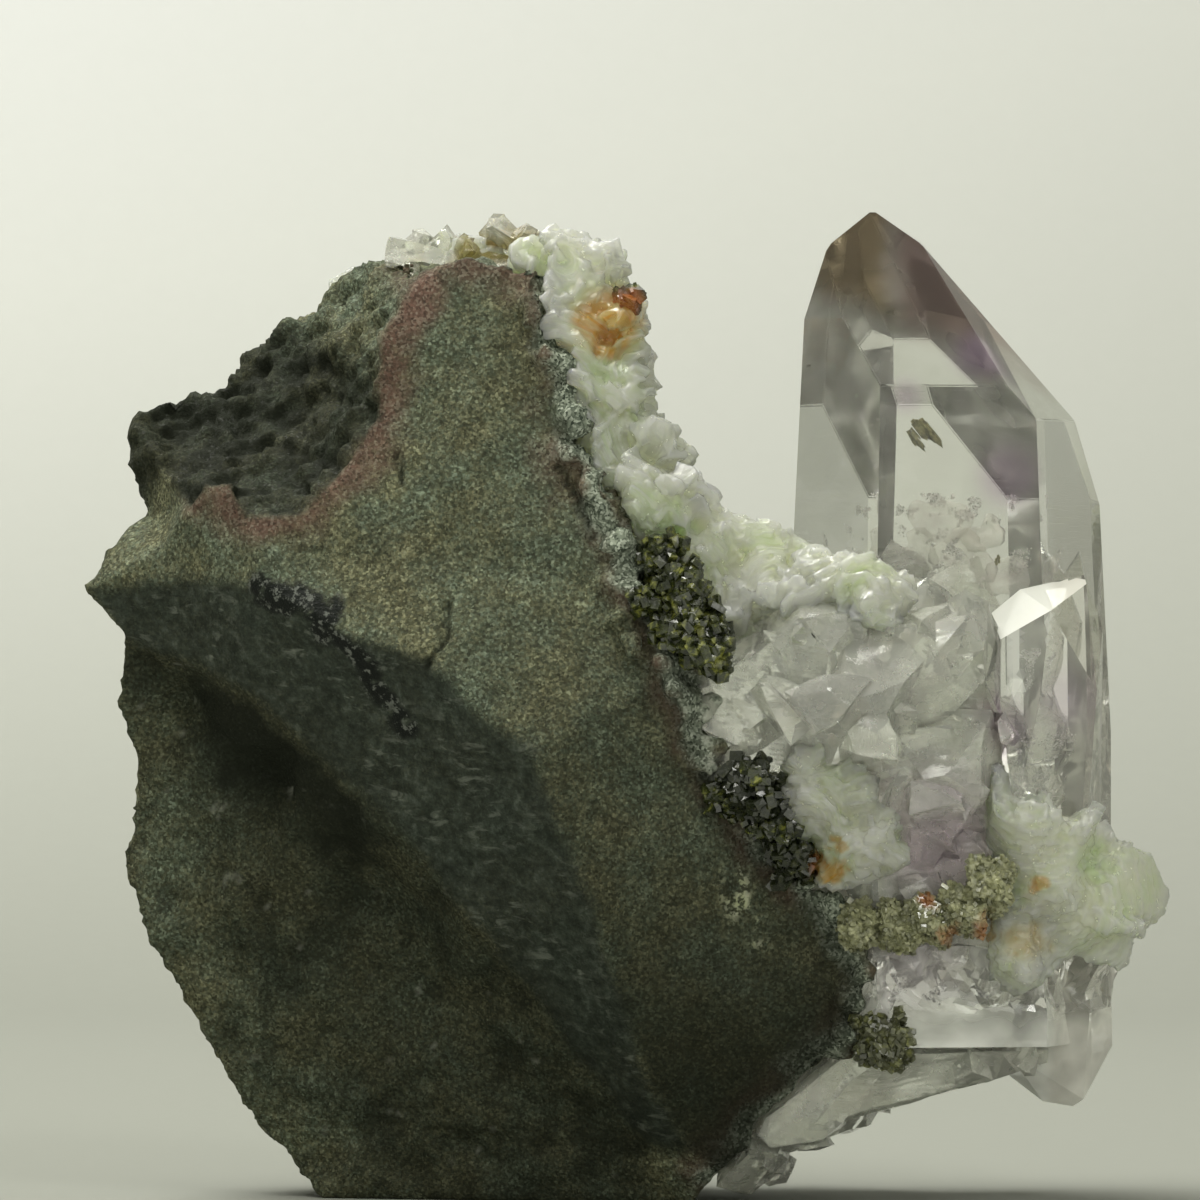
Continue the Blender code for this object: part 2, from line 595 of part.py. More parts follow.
def quartz_base_bodies():
    """The glassy mass that lies sideways under the amethyst."""
    slab = hull([
        (10.5, -5.8, 4.0), (13.6, -6.2, 5.2), (18.5, -6.0, 7.0), (21.2, -5.4, 7.9),
        (24.2, -5.0, 8.0), (24.5, -4.9, 10.4), (24.1, -5.2, 10.9), (21.6, -6.2, 12.6),
        (17.6, -6.6, 14.6), (14.4, -7.0, 14.8), (16.1, -8.2, 10.0), (22.0, -7.4, 11.3),
        (12.0, 5.0, 4.4), (20.0, 4.5, 7.4), (23.0, 1.0, 8.2), (11.0, 2.0, 14.0)])
    shelf = hull([
        (7.6, -5.6, 4.4), (8.6, -5.6, 3.2), (11.5, -5.8, 3.6), (13.0, -6.2, 5.0),
        (14.2, -7.2, 9.0), (12.4, -6.8, 8.2), (8.5, 3.0, 2.2), (13.0, 3.0, 4.2),
        (12.0, 2.0, 12.0)])
    toe = hull([
        (5.6, -2.6, 0.9), (7.4, -1.6, 0.5), (9.0, -4.2, 2.6), (7.0, 3.5, 0.5), (9.8, 3.0, 1.6),
        (10.0, -1.0, 6.0), (6.0, 2.0, 6.0), (7.2, -4.8, 3.2)])
    rear = [quartz_point((6.0, 5.0, 5.0), (16.0, 10.0, 7.0), 6.4, spin=20, seed=61),
            quartz_point((4.0, 7.0, 9.0), (9.5, 14.0, 13.0), 6.0, spin=44, seed=62)]
    return [slab, shelf, toe] + rear


def druse_bodies():
    """Small clear points along the top, behind the basalt's edge."""
    bodies = [chunk((-9.8, 2.6, 52.6), 5.4, 71, squash=(1.2, 0.9, 0.55)),
              chunk((-6.4, 2.0, 52.4), 5.0, 72, squash=(1.1, 0.9, 0.6))]
    points = [
        ((-11.4, 3.4, 52.6), (-11.8, 4.4, 55.2), 2.3),
        ((-10.0, 3.0, 52.8), (-9.8, 4.0, 55.6), 2.3),
        ((-8.4, 1.6, 52.4), (-8.6, 1.2, 55.0), 2.4),
        ((-6.8, 2.0, 52.4), (-6.9, 2.4, 55.7), 2.0),
        ((-5.6, 1.6, 52.2), (-5.2, 1.4, 55.6), 1.9),
        ((-7.4, 4.0, 51.6), (-7.0, 6.4, 53.6), 2.2),
        ((-11.0, 5.0, 51.6), (-11.6, 7.4, 53.2), 2.2)]
    for seed, (foot, tip, width) in enumerate(points):
        bodies.append(quartz_point(foot, tip, width, spin=17 * seed, seed=100 + seed))
    return bodies


# Prehnite

# Middles of the lumps along the cavity's front edge, with their sizes
PREHNITE_FRONT = [
    (-4.0, -3.0, 52.2, 4.2), (-1.8, -4.0, 52.4, 4.0), (-1.4, -4.6, 49.6, 4.4),
    (-0.8, -5.0, 46.8, 4.6), (-0.6, -5.6, 43.8, 4.6), (1.2, -5.6, 41.8, 4.4),
    (2.6, -6.6, 39.4, 4.8), (4.6, -7.2, 37.0, 4.8), (6.2, -7.4, 34.6, 4.8), (8.8, -7.6, 35.4, 4.8),
    (11.4, -9.2, 34.4, 4.2), (14.2, -10.0, 34.2, 3.6)]
WALL_STEP = Vector((-2.9, 5.6, -0.8))       # from one row of lumps to the next, along the wall
WALL_ROWS = 4
# Fans on the lumps: place, direction, number of blades, length, blade width
PREHNITE_FANS = [
    ((-1.8, -4.4, 52.0), (0.5, -0.4, 0.7), 3, 3.2, 1.6),
    ((-1.2, -5.6, 48.6), (0.9, -0.3, 0.2), 3, 3.2, 1.6),
    ((-1.0, -6.4, 45.4), (0.9, -0.4, 0.1), 3, 3.2, 1.7),
    ((1.2, -6.6, 42.0), (0.7, -0.4, 0.5), 3, 3.2, 1.7),
    ((3.0, -7.6, 39.4), (0.6, -0.6, 0.5), 3, 3.3, 1.7),
    ((6.4, -8.0, 35.8), (0.3, -0.5, 0.9), 3, 3.3, 1.7),
    ((9.0, -8.0, 35.0), (0.1, -0.5, 1.0), 3, 3.4, 1.7),
    ((12.2, -9.6, 33.6), (0.3, -0.6, 0.8), 3, 3.0, 1.6),
    ((-2.0, 2.0, 47.5), (0.8, 0.3, 0.5), 2, 3.8, 2.0),
    ((-1.0, 5.0, 40.0), (0.8, 0.4, 0.3), 2, 3.8, 2.0),
    ((3.0, 4.0, 35.0), (0.8, 0.3, 0.4), 2, 3.8, 2.0)]


def prehnite_crust_bodies():
    bodies = []
    rng = random.Random(17)
    for row in range(WALL_ROWS):
        for index, (x, y, z, size) in enumerate(PREHNITE_FRONT):
            behind = row > 0
            if behind and (index > 9 or index % 2 == row % 2):
                continue
            jitter = Vector([rng.uniform(-0.6, 0.6) for _ in range(3)]) * behind
            centre = Vector((x, y, z)) + WALL_STEP * row + jitter
            bodies.append(chunk(centre, size * (1.45 if behind else 1.0), 200 + 20 * row + index,
                                cuts=8))
    for seed, (place, direction, count, length, width) in enumerate(PREHNITE_FANS):
        bodies += fan(place, direction, count, length, width, 300 + seed)
    return bodies


def prehnite_fan_bodies():
    """Fans between the epidote knots and the amethyst."""
    bodies = [chunk((11.4, -10.6, 23.2), 4.4, 401), chunk((13.4, -11.0, 20.8), 4.2, 402),
              chunk((11.2, -10.0, 25.6), 3.4, 403)]
    bodies += fan((11.6, -10.8, 22.2), (0.4, -0.5, 0.7), 4, 3.4, 1.7, 411)
    bodies += fan((13.4, -11.2, 20.6), (0.7, -0.5, -0.1), 4, 3.0, 1.6, 412)
    bodies += fan((11.0, -10.4, 24.8), (0.1, -0.4, 0.9), 3, 2.8, 1.5, 413)
    return bodies


def prehnite_lobe_bodies():
    """The rounded sheaf at the lower right."""
    bodies = [
        chunk((26.6, -6.4, 17.6), 7.0, 431, squash=(1.0, 0.85, 0.85), cuts=12),
        chunk((24.0, -7.6, 18.8), 6.2, 432, squash=(0.9, 0.9, 1.1), cuts=11),
        chunk((22.6, -8.0, 21.6), 4.4, 433, squash=(0.8, 0.9, 1.2)),
        chunk((22.4, -7.8, 14.4), 3.8, 434, squash=(0.8, 0.9, 1.2))]
    bodies += fan((23.0, -7.4, 17.6), (0.95, -0.15, 0.15), 6, 6.6, 2.3, 441, spread=50.0)
    bodies += fan((22.8, -8.6, 18.8), (0.2, -0.5, 1.0), 5, 4.8, 1.6, 442, spread=26.0)
    bodies += fan((22.6, -8.6, 15.4), (-0.1, -0.5, -0.9), 3, 3.2, 1.4, 443, spread=20.0)
    return bodies


# Epidote

def epidote_upper_bodies():
    bodies = prism_spray((3.4, -10.2, 34.2), 2.9, 8, 501)
    bodies += prism_spray((4.6, -10.9, 32.2), 2.8, 8, 502)
    bodies += prism_spray((2.6, -9.6, 36.4), 2.0, 4, 503, length=1.7)
    return bodies + [epidote_prism((4.6, -10.8, 31.6), (5.2, -13.2, 30.7), 1.9, 20)]


def epidote_middle_bodies():
    return (prism_spray((7.2, -10.9, 23.6), 3.0, 7, 511)
            + prism_spray((8.9, -10.8, 22.2), 3.0, 7, 512)
            + prism_spray((9.9, -9.9, 19.8), 2.5, 5, 513, length=1.8))


def epidote_lower_bodies():
    return prism_spray((14.9, -8.6, 9.4), 2.6, 6, 521, length=1.6)


def epidote_band_bodies():
    """The dull green band between the amethyst's foot and the quartz under it."""
    bodies = []
    places = [(13.6, -9.0, 15.8, 2.4), (15.6, -9.2, 15.8, 2.4), (17.6, -9.6, 16.2, 2.5),
              (19.4, -10.0, 16.8, 2.4), (20.8, -10.3, 18.2, 2.5)]
    for seed, (x, y, z, size) in enumerate(places):
        bodies += prism_spray((x, y, z), size, 4, 531 + seed, length=1.4)
    return bodies


def epidote_tip_bodies():
    return prism_spray((0.6, -7.4, 51.0), 1.2, 3, 551, length=0.9)


# Assembly

def build():
    clear_scene()
    basalt_look = plain_material("basalt", (0.085, 0.095, 0.08), 0.85)
    amethyst_look = plain_material("amethyst", (0.82, 0.78, 0.84), 0.05, 0.9)
    quartz_look = plain_material("quartz", (0.85, 0.85, 0.84), 0.12, 0.8)
    prehnite_look = plain_material("prehnite", (0.62, 0.74, 0.55), 0.3, 0.5)
    epidote_look = plain_material("epidote", (0.05, 0.075, 0.02), 0.3)

    rock = basalt_body()
    refine(rock, ROCK_EDGE)
    roughen(rock, ROCK_GRAIN)
    rock_guard = rock_cutter(rock)
    basalt = mesh_object("basalt_matrix", rock)
    tidy_mesh(basalt)
    basalt.data.materials.append(basalt_look)
    to_origin(basalt)

    guards = [rock_guard]
    pieces = [
        ("amethyst_crystal", amethyst_bodies(), amethyst_look),
        ("quartz_base", quartz_base_bodies(), quartz_look),
        ("prehnite_crust", prehnite_crust_bodies(), prehnite_look),
        ("prehnite_fan_lower", prehnite_fan_bodies(), prehnite_look),
        ("prehnite_lobe_right", prehnite_lobe_bodies(), prehnite_look),
        ("quartz_druse_top", druse_bodies(), quartz_look),
        ("epidote_upper", epidote_upper_bodies(), epidote_look),
        ("epidote_middle", epidote_middle_bodies(), epidote_look),
        ("epidote_lower", epidote_lower_bodies(), epidote_look),
        ("epidote_band", epidote_band_bodies(), epidote_look),
        ("epidote_tip", epidote_tip_bodies(), epidote_look)]
    for name, bodies, look in pieces:
        grown_together(name, bodies, look, guards)
        guards += [grown(body, GAP) for body in bodies]


if __name__ == "__main__":
    build()
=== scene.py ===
"""Looks of the amethyst with prehnite and epidote on basalt.

Points and sizes are in millimetres, in the frame that the specimen is drawn in: X to the
right, Y away from the viewer, Z up, with the level that it rests on at zero.
"""

import math

import bmesh
import bpy
import numpy as np
from mathutils import Matrix, Vector
from mathutils.bvhtree import BVHTree


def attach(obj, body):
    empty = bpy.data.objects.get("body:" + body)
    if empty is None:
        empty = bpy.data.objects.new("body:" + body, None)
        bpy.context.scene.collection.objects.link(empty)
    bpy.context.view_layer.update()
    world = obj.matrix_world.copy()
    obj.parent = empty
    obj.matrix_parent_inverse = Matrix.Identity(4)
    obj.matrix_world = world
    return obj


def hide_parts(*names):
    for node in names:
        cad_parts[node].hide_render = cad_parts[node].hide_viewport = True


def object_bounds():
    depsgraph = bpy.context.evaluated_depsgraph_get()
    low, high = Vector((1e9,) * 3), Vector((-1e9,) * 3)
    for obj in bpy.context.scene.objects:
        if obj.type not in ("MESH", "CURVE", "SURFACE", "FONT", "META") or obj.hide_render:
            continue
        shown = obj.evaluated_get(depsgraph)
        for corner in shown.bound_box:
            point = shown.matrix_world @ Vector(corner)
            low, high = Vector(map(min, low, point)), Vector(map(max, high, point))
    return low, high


MM = 0.001
PROUD = 0.02                # how far pieces may stand out of the solids' box, as a share of it
DRAWN_AT = np.array((0.37, 2.09, 0.0))      # the footprint's middle in the drawing frame

# Camera, from the photograph's frame
VIEW_WIDTH = 68.24          # what the frame spans at the specimen
VIEW_X = -1.0
VIEW_HEIGHT = 34.1
VIEW_DISTANCE = 600.0
SENSOR = 36.0

# Ridges and rims of the basalt, which its colour zones follow: x and z
CAVITY_EDGE = [
    (-4.0, 51.9), (-3.4, 48.6), (-3.2, 45.6), (-2.8, 43.0), (-1.4, 41.8), (-0.9, 38.9),
    (1.1, 35.9), (2.4, 33.2), (3.7, 30.6), (4.6, 27.4), (5.3, 24.6), (8.0, 21.3), (10.2, 18.4),
    (12.2, 15.9), (13.7, 13.0), (13.3, 10.2), (11.7, 8.7), (9.9, 6.9), (7.9, 5.0), (7.6, 3.3),
    (5.8, 1.7)]
FACET_RIM = [
    (-11.2, 52.6), (-12.1, 51.3), (-13.4, 48.4), (-13.5, 44.4), (-15.9, 41.2), (-17.9, 39.0),
    (-20.9, 38.8), (-21.8, 40.7), (-23.1, 40.7), (-24.4, 39.4), (-25.9, 41.4), (-27.7, 40.9)]
TOP_EDGE = [(-11.2, 52.6), (-8.9, 53.2), (-7.0, 53.2), (-5.3, 52.7), (-4.0, 51.9)]
SLIP_TOP = [
    (-30.1, 34.7), (-24.2, 35.2), (-19.5, 34.7), (-15.0, 31.9), (-10.5, 30.8), (-7.7, 27.7),
    (-4.6, 25.5), (-3.2, 21.3), (-1.6, 17.4), (0.1, 11.7), (1.8, 7.1), (4.1, 3.1)]
CRACKS = [[(-3.3, 41.5), (-2.2, 39.6), (-1.3, 37.5)], [(-9.6, 34.0), (-9.4, 32.4), (-10.7, 30.4)],
          [(-12.6, 42.2), (-12.2, 40.8)]]
SLIP_FOOT = [
    (-28.2, 32.1), (-22.5, 29.6), (-17.9, 26.2), (-12.3, 21.2), (-8.3, 16.1), (-4.4, 11.5),
    (-1.0, 7.0), (1.6, 3.4)]
FACE_RIDGE = [(-4.6, 25.5), (-2.1, 27.1), (1.2, 28.8), (3.7, 30.6)]

# The main crystal's prism: its axis, the turn of its front face and how far its sides reach
AXIS = (18.7, 0.7)
CRYSTAL_SPIN = 8.9
PRISM_REACH = [8.01, 7.12, 8.12, 9.28, 6.58, 8.57]
HEAP_OUTLINE = [            # where the broken quartz is heaped: x and z
    (-5.0, 14.3), (8.0, 14.9), (14.0, 14.0), (19.0, 14.8), (22.4, 14.2), (21.2, 17.5), (22.6, 20.4),
    (20.9, 23.6), (21.9, 26.5), (20.6, 29.6), (21.3, 32.6), (19.6, 36.6), (17.2, 35.2), (14.6, 36.4),
    (11.0, 34.9), (8.0, 36.0), (-5.0, 36.0)]
HEAP_DEPTH = (-17.0, 17.0)
LEDGE_FACE = [(20.9, 32.2), (24.6, 33.6), (23.4, 29.5), (21.2, 27.6)]
TIP_WORN = 0.28             # how much of the crystal's point is chipped off

ROCK_VOXEL = 0.30
FAN_VOXEL = 0.13
MOST_TRIANGLES = 195_000

# Paper behind the specimen, in metres, and the shades of the light painted on it, from low to high
PAPER_FRONT = -0.22
PAPER_BACK = 0.42
PAPER_RADIUS = 0.16
PAPER_TOP = 0.40
PAPER_HALF_WIDTH = 0.26
PAPER_PAINTED_LIGHT = [(0.18, (0.21, 0.216, 0.187)), (0.34, (0.36, 0.366, 0.335)),
                (0.50, (0.51, 0.515, 0.49)), (0.66, (0.61, 0.615, 0.61))]

# Iron stains: x, z, reach and strength
RUST = [(-0.5, 49.7, 2.6, 1.0), (0.6, 50.8, 1.0, 0.9), (4.5, 28.8, 0.8, 0.8),
        (11.8, 19.0, 0.9, 1.0), (12.2, 20.4, 0.6, 0.7), (17.1, 17.2, 0.7, 1.0),
        (18.4, 15.3, 0.9, 0.7), (20.6, 15.6, 1.0, 0.8), (23.4, 18.5, 0.8, 0.9),
        (22.6, 24.6, 0.7, 0.35), (23.0, 15.0, 1.6, 0.5), (-6.8, 54.6, 0.8, 0.8)]

STAINS = [(-7.9, 53.9, 2.0, 1.0), (-11.6, 53.2, 1.0, 0.4), (-5.8, 54.0, 2.2, 0.9)]


# Noise and fields over arrays of points

def lattice(points, seed):
    """Smooth random values from -1 to 1 that follow a grid of unit cells."""
    cell = np.floor(points).astype(np.int64)
    part = points - cell
    blend = part * part * (3.0 - 2.0 * part)
    total = np.zeros(len(points))
    for corner in np.ndindex(2, 2, 2):
        index = cell + np.array(corner)
        mixed = (index[:, 0] * 73856093) ^ (index[:, 1] * 19349663) ^ (index[:, 2] * 83492791)
        mixed = ((mixed ^ (seed * 2654435)) * 1274126177) & 0x7FFFFFFF
        mixed = ((mixed ^ (mixed >> 15)) * 2246822519) & 0x7FFFFFFF
        value = ((mixed >> 7) & 0xFFFF) / 32767.5 - 1.0
        weight = np.prod(np.where(np.array(corner) == 1, blend, 1.0 - blend), axis=1)
        total += value * weight
    return total


def layered(points, size, seed, octaves=4, gain=0.5):
    """Sum of ever finer noise; size is the width of its largest lumps."""
    total = np.zeros(len(points))
    weight, scale, whole = 1.0, 1.0 / size, 0.0
    for octave in range(octaves):
        total += weight * lattice(points * scale + 31.7 * octave, seed + octave)
        whole += weight
        weight *= gain
        scale *= 2.03
    return total / whole * 1.6


def fade(value, start, full):
    along = np.clip((value - start) / (full - start), 0.0, 1.0)
    return along * along * (3.0 - 2.0 * along)


def line_distance(points, chain):
    """Distance of x, z points from a chain of x, z points."""
    best = np.full(len(points), 1e9)
    for start, end in zip(chain, chain[1:]):
        start, end = np.array(start), np.array(end)
        step = end - start
        if not step.any():
            continue
        along = np.clip((points - start) @ step / (step @ step), 0.0, 1.0)
        best = np.minimum(best, np.linalg.norm(points - start - along[:, None] * step, axis=1))
    return best


def inside(points, outline):
    """Whether x, z points lie inside an outline."""
    found = np.zeros(len(points), bool)
    x, z = points[:, 0], points[:, 1]
    for (x0, z0), (x1, z1) in zip(outline, outline[1:] + outline[:1]):
        if z0 == z1:
            continue
        crosses = (z0 > z) != (z1 > z)
        found ^= crosses & (x < (x1 - x0) * (z - z0) / (z1 - z0) + x0)
    return found


def within(points, outline, soft):
    """1 inside an outline, 0 outside it, with a soft edge of a width."""
    away = line_distance(points, outline + outline[:1])
    signed = np.where(inside(points, outline), away, -away)
    return fade(signed, -soft, soft)


# Meshes

def piece(name, places, faces, material, slot, nodes, smooth=False):
    """An object from points in millimetres, which rides on the specimen and stands for nodes."""
    low, high = np.array(cad_box)
    room = PROUD * (high - low)
    places = np.clip((places - DRAWN_AT) * MM, low - room * (1.0, 1.0, 0.0), high + room)
    mesh = bpy.data.meshes.new(name)
    mesh.from_pydata(places.tolist(), [], faces)
    mesh.polygons.foreach_set("use_smooth", [smooth] * len(mesh.polygons))
    mesh.materials.append(material)
    mesh.update()
    item = bpy.data.objects.new(name, mesh)
    bpy.context.scene.collection.objects.link(item)
    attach(item, "root")
    if nodes:
        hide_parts(*nodes)
    return item


def mesh_arrays(mesh):
    places = np.empty(len(mesh.vertices) * 3)
    mesh.vertices.foreach_get("co", places)
    normals = np.empty(len(mesh.vertices) * 3)
    mesh.vertices.foreach_get("normal", normals)
    return places.reshape(-1, 3) / MM + DRAWN_AT, normals.reshape(-1, 3)


def solid_copy(node):
    """A node's own mesh with its points joined, as a bmesh in metres."""
    bm = bmesh.new()
    bm.from_mesh(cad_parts[node].data)
    bmesh.ops.remove_doubles(bm, verts=bm.verts[:], dist=1e-7)
    return bm


def modified(mesh, kind, **settings):
    """What one modifier makes of a mesh."""
    helper = bpy.data.objects.new("parts", mesh)
    bpy.context.scene.collection.objects.link(helper)
    step = helper.modifiers.new("step", kind)
    for setting, value in settings.items():
        setattr(step, setting, value)
    bpy.context.view_layer.update()
    result = bpy.data.meshes.new_from_object(
        helper.evaluated_get(bpy.context.evaluated_depsgraph_get()))
    bpy.data.objects.remove(helper, do_unlink=True)
    return result


def skin(places, faces, voxel):
    """One even closed skin around overlapping closed bodies, given in millimetres."""
    mesh = bpy.data.meshes.new("parts")
    mesh.from_pydata(places.tolist(), [], faces)
    even = modified(mesh, "REMESH", mode="VOXEL", voxel_size=voxel)
    share = MOST_TRIANGLES / (2 * len(even.polygons))
    if share < 1.0:
        even = modified(even, "DECIMATE", ratio=share)
    skin_places = np.empty(len(even.vertices) * 3)
    even.vertices.foreach_get("co", skin_places)
    normals = np.empty(len(even.vertices) * 3)
    even.vertices.foreach_get("normal", normals)
    return (skin_places.reshape(-1, 3), normals.reshape(-1, 3),
            [list(polygon.vertices) for polygon in even.polygons])


def closed_object(places, faces, blade=None):
    """A helper object in millimetres with its faces turned outwards."""
    mesh = bpy.data.meshes.new("part")
    mesh.from_pydata(np.asarray(places).tolist(), [], faces)
    bm = bmesh.new()
    bm.from_mesh(mesh)
    bmesh.ops.remove_doubles(bm, verts=bm.verts[:], dist=1e-5)
    bmesh.ops.recalc_face_normals(bm, faces=bm.faces[:])
    bm.to_mesh(mesh)
    bm.free()
    if blade is not None:
        layer = mesh.attributes.new("blade", "INT", "FACE")
        layer.data.foreach_set("value", np.full(len(mesh.polygons), blade, np.int32))
    return bpy.data.objects.new("part", mesh)


def boolean(item, operation, others):
    """The item's mesh joined with, cut by or kept inside other closed objects, as new data."""
    group = bpy.data.collections.new("others")
    bpy.context.scene.collection.children.link(group)
    bpy.context.scene.collection.objects.link(item)
    for other in others:
        group.objects.link(other)
    step = item.modifiers.new("boolean", "BOOLEAN")
    step.operation = operation
    step.solver = "MANIFOLD"
    step.operand_type = "COLLECTION"
    step.collection = group
    bpy.context.view_layer.update()
    result = bpy.data.meshes.new_from_object(
        item.evaluated_get(bpy.context.evaluated_depsgraph_get()))
    for other in [item, *others]:
        bpy.data.objects.remove(other, do_unlink=True)
    bpy.data.collections.remove(group)
    return result


def taken_apart(mesh):
    """A mesh's points and faces, and the number of the blade that each face came from."""
    places = np.empty(len(mesh.vertices) * 3)
    mesh.vertices.foreach_get("co", places)
    blades = np.full(len(mesh.polygons), -1, np.int32)
    if "blade" in mesh.attributes:
        mesh.attributes["blade"].data.foreach_get("value", blades)
    faces = [list(polygon.vertices) for polygon in mesh.polygons]
    return places.reshape(-1, 3), faces, blades


def fused(core, places, faces, size):
    """A core and many bodies of the same number of points and faces, grown into one."""
    count = len(places) // size
    per = len(faces) // count
    others = []
    for index in range(count):
        some = [[corner - index * size for corner in face]
                for face in faces[index * per:(index + 1) * per]]
        others.append(closed_object(places[index * size:(index + 1) * size], some, index))
    return boolean(closed_object(*core, -1), "UNION", others)


def store(mesh, name, values):
    layer = mesh.attributes.new(name, "FLOAT", "POINT")
    layer.data.foreach_set("value", np.asarray(values, np.float32))


def surface_points(node, count, apart, seed):
    """Points spread over a node's surface and its normals there."""
    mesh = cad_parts[node].data
    mesh.calc_loop_triangles()
    places, _ = mesh_arrays(mesh)
    corners = places[np.array([triangle.vertices[:] for triangle in mesh.loop_triangles])]
    cross = np.cross(corners[:, 1] - corners[:, 0], corners[:, 2] - corners[:, 0])
    area = np.linalg.norm(cross, axis=1)
    rng = np.random.default_rng(seed)
    pick = rng.choice(len(area), count, p=area / area.sum())
    u, v = rng.random((2, count, 1))
    over = (u + v) > 1.0
    u, v = np.where(over, 1.0 - u, u), np.where(over, 1.0 - v, v)
    corners = corners[pick]
    points = (corners[:, 0] + u * (corners[:, 1] - corners[:, 0])
              + v * (corners[:, 2] - corners[:, 0]))
    taken, kept = {}, []
    for index, point in enumerate(points):
        cell = tuple(np.floor(point / apart).astype(int))
        near = (other for step in np.ndindex(3, 3, 3)
                for other in taken.get(tuple(np.array(cell) + step - 1), ()))
        if all(np.linalg.norm(points[other] - point) >= apart for other in near):
            taken.setdefault(cell, []).append(index)
            kept.append(index)
    normals = cross[pick] / area[pick][:, None]
    return points[kept], normals[kept]


def clear_of(node, points, room):
    """Which points lie outside a node by some room."""
    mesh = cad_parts[node].data
    tree = BVHTree.FromPolygons([vert.co[:] for vert in mesh.vertices],
                                [polygon.vertices[:] for polygon in mesh.polygons])
    found = []
    for point in (points - DRAWN_AT) * MM:
        near, normal, _, distance = tree.find_nearest(point)
        outside = (Vector(point) - near).dot(normal) > 0.0
        found.append(outside and distance > room * MM)
    return np.array(found, bool)


def unit(vectors):
    return vectors / np.maximum(np.linalg.norm(vectors, axis=1), 1e-9)[:, None]


def blade_mesh(roots, axes, flats, lengths, widths, thick, rng):
    """Thin closed blades that widen towards a chisel end; flats face off their broad sides."""
    axes = unit(axes)
    flats = unit(flats - np.sum(flats * axes, axis=1)[:, None] * axes)
    sides = np.cross(axes, flats)
    outline = np.array([(-0.45, 0.0), (-1.0, 0.72), (-0.6, 0.97), (0.3, 1.0), (1.0, 0.78),
                        (0.45, 0.0)])
    count = len(roots)
    shape = outline[None] + rng.uniform(-0.22, 0.22, (count, 6, 2)) * (outline[None, :, 1:] > 0)
    chisel = np.minimum(0.5 * widths / lengths, 1.0)[:, None]
    shape[..., 1] = np.where(outline[None, :, 1] > 0, 1.0 - (1.0 - shape[..., 1]) * chisel, 0.0)
    middle = (roots[:, None] + sides[:, None] * (shape[..., :1] * widths[:, None, None] / 2)
              + axes[:, None] * (shape[..., 1:] * lengths[:, None, None]))
    swell = np.interp(shape[..., 1:], (0.0, 0.85, 1.0), (0.3, 1.0, 0.6))
    lift = flats[:, None] * (thick[:, None, None] / 2 * swell)
    places = np.concatenate([middle + lift, middle - lift], axis=1).reshape(-1, 3)
    faces = []
    for index in range(count):
        start = 12 * index
        faces.append([start + corner for corner in range(6)][::-1])
        faces.append([start + 6 + corner for corner in range(6)])
        for corner in range(6):
            after = (corner + 1) % 6
            faces.append((start + corner, start + after, start + 6 + after, start + 6 + corner))
    return places, faces


def prism_mesh(roots, axes, lengths, widths, rng, flat=0.6, point=0.25, ragged=0.0):
    """Closed four-sided prisms with a pointed end; ragged moves their corners at random."""
    axes = unit(axes)
    sides = unit(np.cross(axes, rng.normal(size=axes.shape)))
    flats = np.cross(axes, sides)
    places, faces = [], []
    for level, spread in ((0.0, 1.0), (1.0 - point, 1.0)):
        for side, other in ((-1, -1), (1, -1), (1, 1), (-1, 1)):
            places.append(roots + axes * (lengths * level)[:, None]
                          + sides * (widths * spread * side / 2)[:, None]
                          + flats * (widths * flat * spread * other / 2)[:, None])
    places.append(roots + axes * lengths[:, None] + sides * (widths * 0.2)[:, None])
    places = np.stack(places, axis=1)
    if ragged:
        places = places + rng.uniform(-ragged, ragged, places.shape) * widths[:, None, None]
    places = places.reshape(-1, 3)
    for index in range(len(roots)):
        start = 9 * index
        faces.append((start + 3, start + 2, start + 1, start))
        for corner in range(4):
            after = (corner + 1) % 4
            faces.append((start + corner, start + after, start + 4 + after, start + 4 + corner))
            faces.append((start + 4 + corner, start + 4 + after, start + 8))
    return places, faces


def joined(*parts):
    """Several lists of points and faces as one."""
    places, faces, start = [], [], 0
    for some, corners in parts:
        places.append(some)
        faces += [[corner + start for corner in face] for face in corners]
        start += len(some)
    return np.concatenate(places), faces


def node_parts(node):
    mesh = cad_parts[node].data
    places, _ = mesh_arrays(mesh)
    return places, [list(polygon.vertices) for polygon in mesh.polygons]


def blobs(places, spots, soft=0.4):
    """Soft round patches at x, z spots, for every point."""
    value = np.zeros(len(places))
    ragged = places[:, [0, 2]] + 0.5 * np.stack(
        [layered(places, 1.2, 101), layered(places, 1.2, 103)], axis=1)
    for x, z, reach, strength in spots:
        away = np.linalg.norm(ragged - np.array((x, z)), axis=1)
        value = np.maximum(value, strength * fade(-away, -reach, -reach * soft))
    return value


# Node materials

def shader_node(tree, kind, inputs=(), **settings):
    """A node with its settings; inputs are values, or sockets to link from."""
    made = tree.nodes.new(kind)
    for key, value in settings.items():
        setattr(made, key, value)
    for key, value in dict(inputs).items():
        if isinstance(value, bpy.types.NodeSocket):
            tree.links.new(value, made.inputs[key])
        else:
            made.inputs[key].default_value = value
    return made


